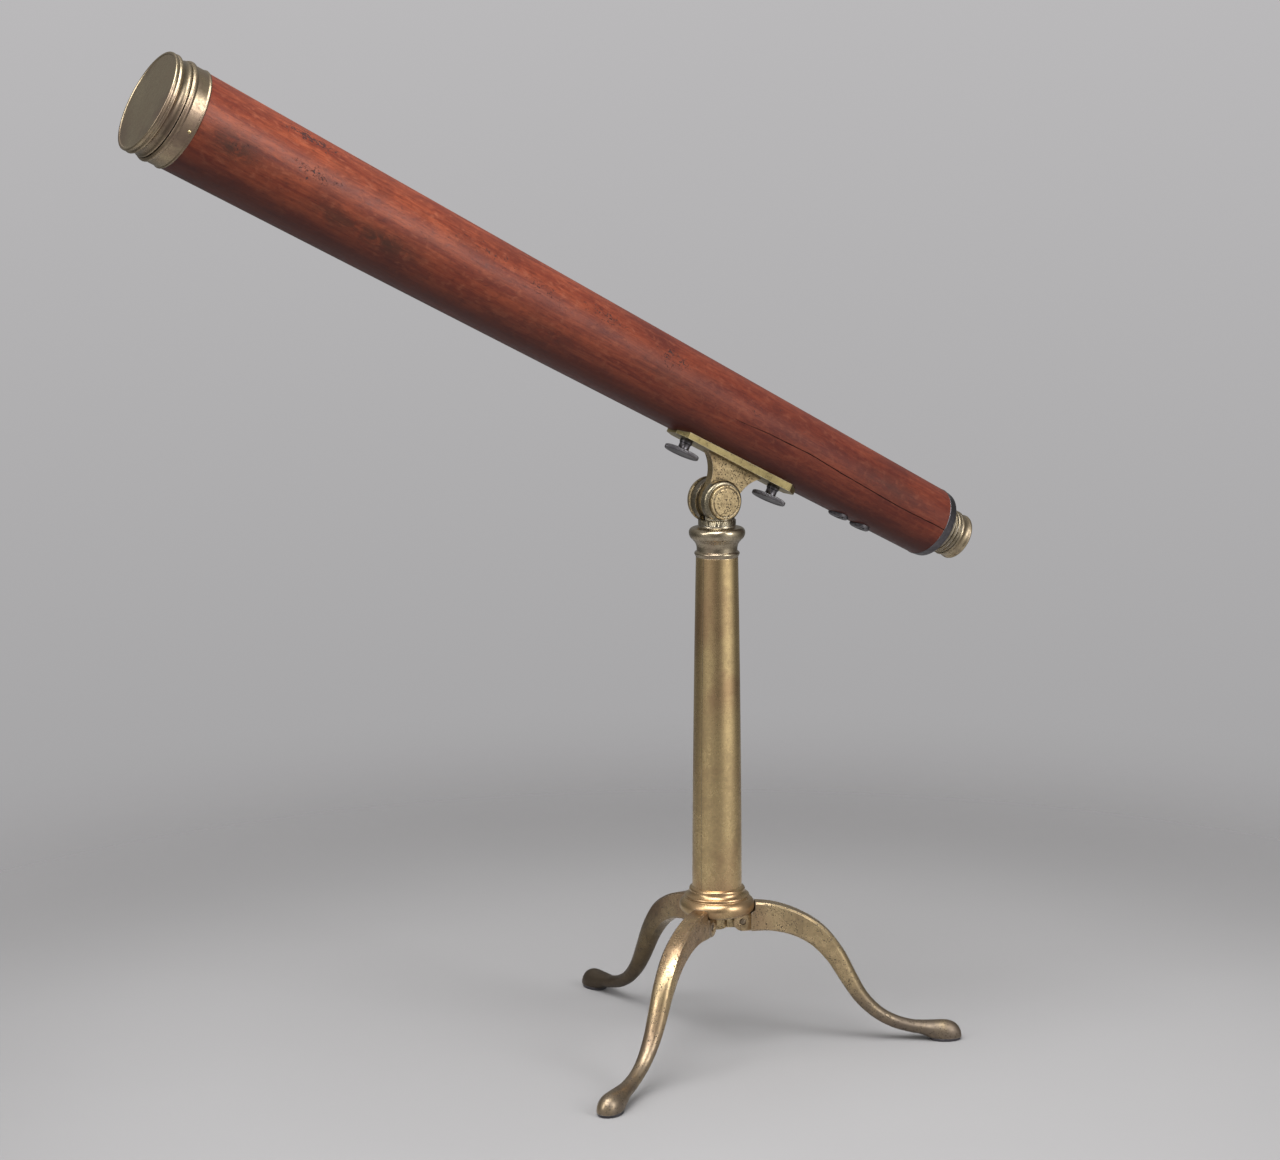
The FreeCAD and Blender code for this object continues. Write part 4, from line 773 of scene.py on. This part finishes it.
def section(half_depth, half_width, roundness):
    """Points of a leg's section as (across, up), from the middle of its right side."""
    cut = CHAMFER * (1 + CHAMFER_GROWTH * roundness)
    low, high = (math.radians(a) for a in ROUND_CORNERS)
    quarter = []
    for part in range(FLAT_PARTS + 1):
        share = part / FLAT_PARTS
        flat = (half_width, (half_depth - cut) * share)
        quarter.append((flat, low * share))
    for part in range(1, 3):
        share = part / 2
        flat = (half_width - cut * share, half_depth - cut + cut * share)
        quarter.append((flat, mix(low, high, share)))
    for part in range(1, FLAT_PARTS + 1):
        share = part / FLAT_PARTS
        flat = ((half_width - cut) * (1 - share), half_depth)
        quarter.append((flat, mix(high, math.pi / 2, share)))
    points = []
    for flat, angle in quarter:
        across = mix(flat[0], half_width * math.cos(angle), roundness)
        up = mix(flat[1], half_depth * math.sin(angle), roundness)
        points.append((across, up))
    top = points + [(-x, y) for x, y in reversed(points[:-1])]
    return top + [(x, -y) for x, y in reversed(top[1:-1])]


def leg_rings():
    """Sections from root to toe, cut flat over the sole and clear of the moulding."""
    rows = curve_through(LEG_STATIONS, 7)
    rings = []
    for index, (distance, height, depth, width, roundness) in enumerate(rows):
        before, after = rows[max(index - 1, 0)], rows[min(index + 1, len(rows) - 1)]
        forward = Vector((after[0] - before[0], after[1] - before[1])).normalized()
        if index == 0 or distance > FOOT_BEGINS:
            forward = Vector((1, 0))
        ring = []
        for across, up in section(depth, width, min(max(roundness, 0), 1)):
            x, z = distance - forward.y * up, max(height + forward.x * up, SOLE_TOP)
            if z > ROOT_TOP:
                x = max(x, ROOT_CLEARANCE)
            ring.append(Vector((x, across, z)))
        rings.append(ring)
    return rings


def make_leg(side):
    place = Matrix.Rotation(LEG_BEARINGS[side], 4, "Z")
    made = bmesh.new()
    shade = made.verts.layers.float.new("shade")
    columns = []
    for ring in leg_rings():
        columns.append([made.verts.new(point * MM) for point in ring])
        for vertex, point in zip(columns[-1], ring):
            # Painted shade on the rear leg, growing darker outwards.
            painted_shade = PAINTED_LEG_SHADE if side == SHADED_LEG else 0.0
            vertex[shade] = painted_shade * smooth(*SHADE_FROM, point.x)
    for low, high in zip(columns, columns[1:]):
        sew(made, low, high)
    made.faces.new(list(reversed(columns[0])))
    made.faces.new(columns[-1])
    leg = solid(f"leg_{side}_limb", made, bpy.data.meshes.new("Leg"), place)
    soften(leg, 0.3, 28)
    bake(leg)
    for offset in (-1, 1):
        depths = (EAR_INNER * offset, EAR_OUTER * offset)
        ear = eye_plate("Ear", EAR_RADIUS, depths, EAR_END, place)
        soften(ear, 0.35)
        bake(ear)
        join(leg, ear)
    plant(leg)
    settle(leg, f"leg_{side}", "leg_brass", [f"leg_{side}"], 0)
    sole = lathe(f"sole_{side}", [
        (0, 0), (8.8, 0), (9.2, 0.4), (9.2, 2.0), (8.9, SOLE_TOP), (0, SOLE_TOP),
    ], place @ shift(FOOT_MIDDLE, 0, 0), 64)
    for vertex in sole.data.vertices:
        vertex.co.x *= FOOT_HALF_LENGTH / FOOT_HALF_WIDTH
    plant(sole)
    settle(sole, f"leg_{side}", "dark_brass", [f"foot_sole_{side}"], 0.12)


HINGE = Vector((20.2, 102.0))
EAR_RADIUS, EAR_INNER, EAR_OUTER, EAR_END = 7.5, 2.65, 6.0, 28.6
TONGUE_RADIUS, TONGUE_HALF, TONGUE_END = 5.4, 2.5, 4.0
PIN_RADIUS, PIN_HOLE = 2.5, 2.55


def eye_plate(name, radius, depths, end, place):
    """A plate between two depths, from a round end about the hinge pin to a square end."""
    outward = math.copysign(1, end - HINGE.x)
    made = bmesh.new()
    steps = 40
    outer, inner = [], []
    for step in range(2 * steps):
        turn = math.pi / 2 + math.pi * step / steps
        direction = Vector((outward * math.cos(turn), math.sin(turn)))
        inner.append(HINGE + direction * PIN_HOLE)
        if step <= steps:
            outer.append(HINGE + direction * radius)
        else:
            outer.append(Vector((end, HINGE.y + radius * (2 * step / steps - 3))))
    sides = []
    for depth in depths:
        sides.append([
            [made.verts.new((p.x * MM, depth * MM, p.y * MM)) for p in loop]
            for loop in (outer, inner)
        ])
    for low, high in [*sides, *zip(*sides)]:
        sew(made, low, high)
    return solid(name, made, bpy.data.meshes.new("Plate"), place)


def make_hub():
    post = lathe("hub_post", [
        (0, 96.4), (7.0, 96.4), (8.2, 97.6), (8.2, 121), (0, 121),
    ], STAND, 96)
    settle(post, "stand", "cast_brass", ["leg_hub"], 0.2)
    depths = (-TONGUE_HALF, TONGUE_HALF)
    for side, bearing in LEG_BEARINGS.items():
        place = Matrix.Rotation(bearing, 4, "Z")
        tongue = eye_plate(f"hub_tongue_{side}", TONGUE_RADIUS, depths, TONGUE_END, place)
        settle(tongue, "stand", "cast_brass", (), 0.25)
        across = place @ shift(HINGE.x, 0, HINGE.y) @ spin(90, "X")
        pin = lathe(f"hinge_pin_{side}", [
            (0, -6.0), (1.9, -5.9), (PIN_RADIUS, -5.5), (PIN_RADIUS, 5.5), (1.9, 5.9), (0, 6.0),
        ], across, 48)
        settle(pin, "stand", "leg_brass", ["leg_hinge_pins"] if side == "right" else (), 0)


# Telescope

CRACK = [
    # station, degrees from the top towards -Y
    (258.0, 101.6), (254.8, 101.3), (220.9, 97.0), (181.7, 95.0), (140.0, 98.2),
    (82.2, 100.9), (38.7, 99.1), (34.0, 99.0),
]
KNOCKS = [
    # station, degrees from the top towards -Y, size along, size around, strength
    (662, 40, 30, 14, 1.0), (650, 82, 34, 14, 0.7), (500, 62, 60, 20, 0.55),
    (395, 60, 40, 22, 0.6), (330, 66, 24, 22, 0.75), (318, 50, 16, 14, 0.5),
    (455, 70, 40, 24, 0.4), (250, 72, 20, 18, 0.5), (215, 60, 20, 14, 0.4),
    (600, 80, 24, 16, 0.4), (708, 100, 20, 16, 0.5), (620, 190, 60, 30, 0.5),
    (300, 230, 80, 30, 0.5), (120, 250, 50, 30, 0.5), (500, 300, 80, 24, 0.5),
]
STAINS = [
    # the same figures
    (588, 114, 40, 15, 1.0), (622, 116, 34, 14, 0.8), (716, 100, 24, 20, 1.0),
    (330, 96, 36, 18, 0.4), (430, 118, 60, 20, 0.4), (100, 80, 40, 24, 0.4),
    (480, 220, 70, 30, 0.6), (200, 280, 60, 30, 0.5),
]


def crack_angle(station):
    """The crack's middle at a station, in degrees from the top towards -Y, or None."""
    points = sorted(CRACK)
    for low, high in zip(points, points[1:]):
        if low[0] <= station <= high[0]:
            share = (station - low[0]) / (high[0] - low[0])
            wobble = 0.35 * noise.noise((station / 5.0, 0.3, 0))
            wobble += 0.2 * noise.noise((station / 1.7, 8, 0))
            return mix(low[1], high[1], mix(share, smooth(0, 1, share), 0.5)) + wobble
    return None


def from_top(angle):
    """Degrees round the tube from its top towards -Y, from 0 to 360."""
    return (-math.degrees(angle)) % 360


def crack_depth(radius, station, angle):
    """0 away from the crack, 1 at its middle."""
    middle = crack_angle(station)
    if middle is None or radius < 26:
        return 0.0
    off = math.radians(abs(from_top(angle) - middle)) * radius
    ragged = 0.75 + 0.5 * noise.noise((station / 11, 5, 0))
    open_width = 0.10 + 0.22 * smooth(258, 200, station) * ragged
    return 1 - smooth(open_width * 0.45, open_width * 1.5, off)


def patches(places):
    """A field that is high inside soft oval patches."""
    def field(radius, station, angle):
        total = 0.0
        for middle, bearing, long, wide, strength in places:
            off_along = (station - middle) / long
            if abs(off_along) > 1.6:
                continue
            off_around = ((from_top(angle) - bearing + 180) % 360 - 180) / wide
            total = max(total, strength * math.exp(-1.6 * (off_along**2 + off_around**2)))
        return total
    return field


WOOD_EYE, WOOD_FRONT = (34.3, 28.6), (744.8, 36.8)
SLEEVE_SCREW_STATIONS = (92.8, 115.8)
CRACK_DEPTH, UNDERSIDE_SHADE = 0.7, 0.78


def barrel_radius(station):
    share = (station - WOOD_EYE[0]) / (WOOD_FRONT[0] - WOOD_EYE[0])
    return mix(WOOD_EYE[1], WOOD_FRONT[1], share)


def make_barrel():
    def crack_shape(radius, station, angle):
        return radius - CRACK_DEPTH * crack_depth(radius, station, angle), station

    # Painted shade: the barrel's underside is darker.
    def painted_underside_shade(radius, station, angle):
        return UNDERSIDE_SHADE * (1 - smooth(28, 72, abs(from_top(angle) - 180)))

    angles = angles_with(-103.6, -92.6, 0.14, 2.6)  # dense around the crack
    wood = lathe("barrel_wood", [
        (24.1, 29.1), (26.7, 29.1), (26.7, 34.3), (28.6, 34.3), (36.8, 744.8), (34.4, 744.8),
        (34.4, 752), (32.3, 752),
    ], TUBE, angles, crack_shape, 2.2, {
        "crack": crack_depth, "knocked": patches(KNOCKS), "stained": patches(STAINS),
        "under_shade": painted_underside_shade,
    })
    settle(wood, "telescope", "mahogany", ["barrel"], 0.15, 50)


PIN_ANGLE, PIN_STATION = -107.8, 749.0


def make_objective_end():
    ferrule = lathe("objective_ring", [
        (34.4, 744.8), (37.15, 744.8), (37.55, 745.3), (37.55, 746.3, OUT, 0.7), (37.2, 746.9),
        (37.1, 747.2), (37.1, 755.4), (37.3, 755.7), (37.75, 756.2, OUT, 0.5),
        (37.75, 759.2, OUT, 2.4), (37.2, 759.9, OUT, 0.9), (33.2, 760), (33.2, 752), (34.4, 752),
    ], TUBE, 192)
    settle(ferrule, "telescope", "cap_brass", ["objective_ferrule"], 0.1)
    for number in range(3):
        place = TUBE @ spin(PIN_ANGLE + 120 * number, "Z") @ shift(0, 0, PIN_STATION)
        pin = lathe(f"objective_pin_{number + 1}", [
            (0, 34), (1.3, 34), (1.3, 37.3), (0, 38.0, UP, 1.9),
        ], place @ spin(90, "Y"), 32)
        settle(pin, "telescope", "plain_brass", ["objective_ferrule_pins"], 0.08)
    # The cap's shade field is painted shade in the cove, all round it, standing for its shade and dark
    # reflections.
    cap = lathe("cap", [
        (33.5, 760.5), (36.6, 760.5), (36.8, 761.2), (36.7, 761.8), (37.1, 767.7, IN, 4.9),
        (37.3, 770.1, OUT, 1.5), (37.0, 770.5), (37.6, 773.1, OUT, 3), (36.9, 773.8, OUT, 0.8),
        (35.8, 773.8), (35.2, 773.3), (20, 773.25), (0, 773.2),
        (0, 771.9), (33.5, 771.9),
    ], TUBE, 192, fields={
        "shade": lambda radius, station, angle: (
            0.4 * smooth(761.5, 763, station) * (1 - smooth(766, 768, station))
        ),
    })
    settle(cap, "cap", "cap_brass", ["dust_cap"], 0.12)


def make_eye_end():
    ferrule = lathe("eye_ring", [
        (19.4, 26.3), (27.0, 26.3), (27.8, 27.1), (28.3, 29.6), (28.2, 30.1), (28.9, 33.9),
        (28.7, 34.3), (26.7, 34.3), (26.7, 29.1), (19.4, 29.1),
    ], TUBE, 160)
    settle(ferrule, "telescope", "dark_brass", ["eye_ferrule"], 0.12)
    corners = [
        (6.2, 2.6), (16.4, 0.2, UP, 26), (18.3, 0), (19.1, 1, OUT, 1.2), (19, 2),
        (19, 8.6, IN, 5.6), (19.3, 9.4), (19, 10.6),
    ]
    for groove in range(4):
        start = 10.8 + 3.7 * groove
        corners += [(18.3, start), (18.3, start + 1.5), (18.9, start + 1.9, OUT, 1.1),
                    (18.9, start + 3.3, OUT, 0.9)]
    corners += [(18.7, 26), (18.25, 26), (18.25, 12), (13, 12), (13, 4.4), (6.2, 4.4)]
    # The eyecup's shade field paints shade over its grooved part.
    eyecup = lathe("eye_cup", corners, TUBE, 144, fields={
        "shade": lambda radius, station, angle: 0.55 * smooth(8.5, 11.5, station),
    })
    settle(eyecup, "draw", "cap_brass", ["eyecup"], 0.1)
    draw = lathe("draw_tube_polished", [
        (17.45, 12), (18.25, 12), (18.25, 236), (17.45, 236),
    ], TUBE, 128)
    settle(draw, "draw", "plain_brass", ["draw_tube"], 0.1)


def thumbscrew_station(name):
    origin = Vector(JOINTS[f"thumbscrew_{name}_turn"]["pos_m"])
    return (TUBE.inverted() @ origin).z / MM


KNURL_TEETH, KNURL_DEPTH = 66, 0.42


def make_thumbscrews():
    def knurl(radius, height, angle):
        if radius < 13.2 or not 42.1 < height < 45.1:
            return radius, height
        wave = abs(math.sin(angle * KNURL_TEETH / 2))
        return radius - KNURL_DEPTH * (1 - wave) ** 1.3, height

    for name in ("front", "rear"):
        screw = lathe(f"thumbscrew_{name}_knurled", [
            (0, 24.4), (2.5, 24.4), (3, 24.9), (3, 33.65), (5, 33.65), (5, 36.2), (4.4, 36.8),
            (4.4, 40.9), (6.6, 42, IN, 1.9), (13.3, 42), (14, 42.5), (14, 44.6), (13.4, 45.2),
            (10.5, 45.2), (10, 44.8), (0, 44.8),
        ], under_tube(thumbscrew_station(name)), KNURL_TEETH * 6, knurl)
        settle(screw, f"thumbscrew_{name}", "dark_brass", [f"thumbscrew_{name}"], 0.12)


def combine(piece, other, operation):
    """Adds the other piece's shape or takes it away, and removes the other piece."""
    change = piece.modifiers.new("Combine", "BOOLEAN")
    change.operation = operation
    change.solver = "EXACT"
    change.object = other
    bake(piece)
    bpy.data.objects.remove(other)


def cut(piece, tool):
    combine(piece, tool, "DIFFERENCE")


def join(piece, other):
    combine(piece, other, "UNION")


def bake(piece):
    """Applies the piece's modifiers to its mesh."""
    graph = bpy.context.evaluated_depsgraph_get()
    graph.update()
    mesh = bpy.data.meshes.new_from_object(piece.evaluated_get(graph))
    piece.modifiers.clear()
    piece.data = mesh


BOX_FACES = ((0, 1, 3, 2), (4, 5, 7, 6), (0, 1, 5, 4), (2, 3, 7, 6), (0, 2, 6, 4), (1, 3, 7, 5))


def box(name, low, high, place=STAND):
    made = bmesh.new()
    corners = [
        made.verts.new([(low[i], high[i])[(number >> i) & 1] * MM for i in range(3)])
        for number in range(8)
    ]
    for face in BOX_FACES:
        made.faces.new([corners[i] for i in face])
    return solid(name, made, bpy.data.meshes.new(name), place)


def prism(name, points, low, high, place):
    """A closed plate over a flat outline in the place's XZ plane, from low to high along Y."""
    made = bmesh.new()
    layers = [[made.verts.new((x * MM, y * MM, z * MM)) for x, z in points] for y in (low, high)]
    sew(made, *layers)
    for layer in layers:
        made.faces.new(layer)
    return solid(name, made, bpy.data.meshes.new(name), place)


PIVOT_HEIGHT = PIVOT.z / MM
CHEEK_GAP = 4.15


def make_knuckle():
    screw = lathe("clamp_screw_head", [
        (0, -10.5), (5, -10.5), (5, 11.8), (17.2, 11.8), (18, 12.6), (18, 14.2),
        (14.4, 18.8, OUT, 6), (0, 22.2, UP, 46),
    ], KNUCKLE_FAR, 128)
    cut(screw, box("Slot", (-30, -1.4, 16.4), (30, 1.4, 30), KNUCKLE_FAR))
    settle(screw, "head", "cast_brass", ["clamp_screw"], 0.25)
    yoke = lathe("knuckle", [
        (0, 405.2), (9, 405.2), (9, 421.5), (14.8, 421.5), (14.8, 425.2), (13.8, 426.2),
        (13.8, 432), (0, 432),
    ], STAND, 120)
    join(yoke, lathe("NearCheek", [
        (0, CHEEK_GAP), (17, CHEEK_GAP), (17, 7.8), (13.8, 11, OUT, 3.2), (0, 11),
    ], KNUCKLE_NEAR, 120))
    join(yoke, lathe("FarCheek", [
        (0, CHEEK_GAP), (17.4, CHEEK_GAP), (17.4, 9.8), (15.4, 11.8, OUT, 2), (0, 11.8),
    ], KNUCKLE_FAR, 120))
    far_side = PIVOT_HEIGHT - 14.0
    cut(yoke, box("Gap", (-50, -CHEEK_GAP, far_side), (50, CHEEK_GAP, far_side + 60)))
    cut(yoke, lathe("Hollow", [(0, -CHEEK_GAP), (15.6, -CHEEK_GAP), (15.6, CHEEK_GAP),
                               (0, CHEEK_GAP)], KNUCKLE_FAR, 96))
    cut(yoke, lathe("HeadRoom", [(0, 11.81), (18.3, 11.81), (18.3, 30), (0, 30)],
                    KNUCKLE_FAR, 96))
    settle(yoke, "head", "worn_brass", ["knuckle_yoke"], 0.22, 40)
    boss = lathe("knuckle_boss", [
        (0, 10.6), (13.6, 10.6), (13.6, 13.2), (12.9, 14.0, OUT, 0.8), (11.9, 14.0),
        (11.5, 13.4), (11.1, 13.4), (10.8, 14.1), (10.3, 14.3), (0, 14.3),
    ], KNUCKLE_NEAR, 128)
    settle(boss, "head", "cast_brass", (), 0.08)


PLATE_LEVEL, PLATE_WIDTH, PLATE_LENGTH, PLATE_MIDDLE = 33.6, 26.0, 121.0, 227.5
PLATE_CUT_ALONG, PLATE_CUT_ACROSS = 8.6, 6.0
TONGUE_HALF_WIDTH, TONGUE_ROUND = 4.0, 15.0
WEB_FLARE, WEB_HALF_LENGTH, BLEND_RISE = 27.5, 29.0, 4.0
PLATE_ROWS, PLATE_COLUMNS = 44, 16


def make_bracket():
    """The web that the telescope tilts on, and the saddle plate that fits the barrel."""
    pivot_level = -AXIS_OFFSET
    blend_along = math.sqrt(TONGUE_ROUND**2 - BLEND_RISE**2)
    top, blend_level = -PLATE_LEVEL + 0.8, pivot_level + BLEND_RISE
    web_outline = outline([
        (top, PIVOT_STATION + WEB_HALF_LENGTH),
        (blend_level, PIVOT_STATION + blend_along, DOWN, WEB_FLARE),
        (pivot_level - TONGUE_ROUND, PIVOT_STATION, UP, TONGUE_ROUND),
        (blend_level, PIVOT_STATION - blend_along, DOWN, TONGUE_ROUND),
        (top, PIVOT_STATION - WEB_HALF_LENGTH, UP, WEB_FLARE),
    ], 1.0)
    web = prism("bracket_web", web_outline, -TONGUE_HALF_WIDTH, TONGUE_HALF_WIDTH, TUBE)
    pin_place = TUBE @ shift(pivot_level, 0, PIVOT_STATION) @ spin(90, "X")
    cut(web, lathe("PivotHole", [(0, -9), (5.05, -9), (5.05, 9), (0, 9)], pin_place, 64))
    settle(web, "telescope", "cast_brass", ["tilt_bracket"], 0.35, 35)
    edge, corner = PLATE_WIDTH / 2, PLATE_WIDTH / 2 - PLATE_CUT_ACROSS
    ends = (PLATE_MIDDLE - PLATE_LENGTH / 2, PLATE_MIDDLE + PLATE_LENGTH / 2)
    made = bmesh.new()
    grid = []
    for row in range(PLATE_ROWS + 1):
        station = mix(*ends, row / PLATE_ROWS)
        inset = min(station - ends[0], ends[1] - station)
        half = corner + (edge - corner) * min(inset / PLATE_CUT_ALONG, 1)
        grid.append((station, half))
    for extra in (ends[0] + PLATE_CUT_ALONG, ends[1] - PLATE_CUT_ALONG):
        grid.append((extra, edge))
    grid.sort()
    lower, upper = [], []
    for station, half in grid:
        barrel = barrel_radius(station)
        across = [mix(-half, half, n / PLATE_COLUMNS) for n in range(PLATE_COLUMNS + 1)]
        lower.append([made.verts.new((-PLATE_LEVEL * MM, y * MM, station * MM)) for y in across])
        upper.append([
            made.verts.new((-math.sqrt(barrel**2 - y**2) * MM, y * MM, station * MM))
            for y in across
        ])
    for sheet in (lower, upper):
        for near, far in zip(sheet, sheet[1:]):
            sew(made, near, far, False)
    for end in (0, -1):
        sew(made, [row[end] for row in lower], [row[end] for row in upper], False)
    for end in (0, -1):
        sew(made, lower[end], upper[end], False)
    plate = solid("saddle_plate", made, bpy.data.meshes.new("Plate"), TUBE)
    for name in ("front", "rear"):
        hole = [(0, 20), (3.4, 20), (3.4, 50), (0, 50)]
        cut(plate, lathe("PlateHole", hole, under_tube(thumbscrew_station(name)), 48))
    settle(plate, "telescope", "gilt_brass", (), 0.3, 35)


def make_sleeve_screws():
    for number, station in enumerate(SLEEVE_SCREW_STATIONS):
        place = under_tube(station)
        screw = lathe(f"sleeve_screw_{number + 1}", [
            (0, 20.4), (2.4, 20.4), (2.4, 28), (8.5, 28), (8.5, 29.9), (7.1, 31.4, OUT, 2.2),
            (0, 31.9, UP, 50),
        ], place, 96)
        cut(screw, box("ScrewSlot", (-0.9, -20, 30.8), (0.9, 20, 40), place))
        settle(screw, "telescope", "dark_brass", ["sleeve_screws"] if number == 0 else (), 0.12)


def keep_cad_nodes():
    """Gives every CAD node its slot's material. Those that no piece replaces keep showing."""
    slots = {row["node"]: row["material_slot"] for row in frame["record"]["subparts"]}
    for name, node in NODES.items():
        node.data.materials.clear()
        node.data.materials.append(MATERIALS[slots[name]])


make_camera()
make_studio()
keep_cad_nodes()
make_pillar()
for side in LEG_BEARINGS:
    make_leg(side)
make_hub()
make_barrel()
make_bracket()
make_sleeve_screws()
make_objective_end()
make_eye_end()
make_thumbscrews()
make_knuckle()
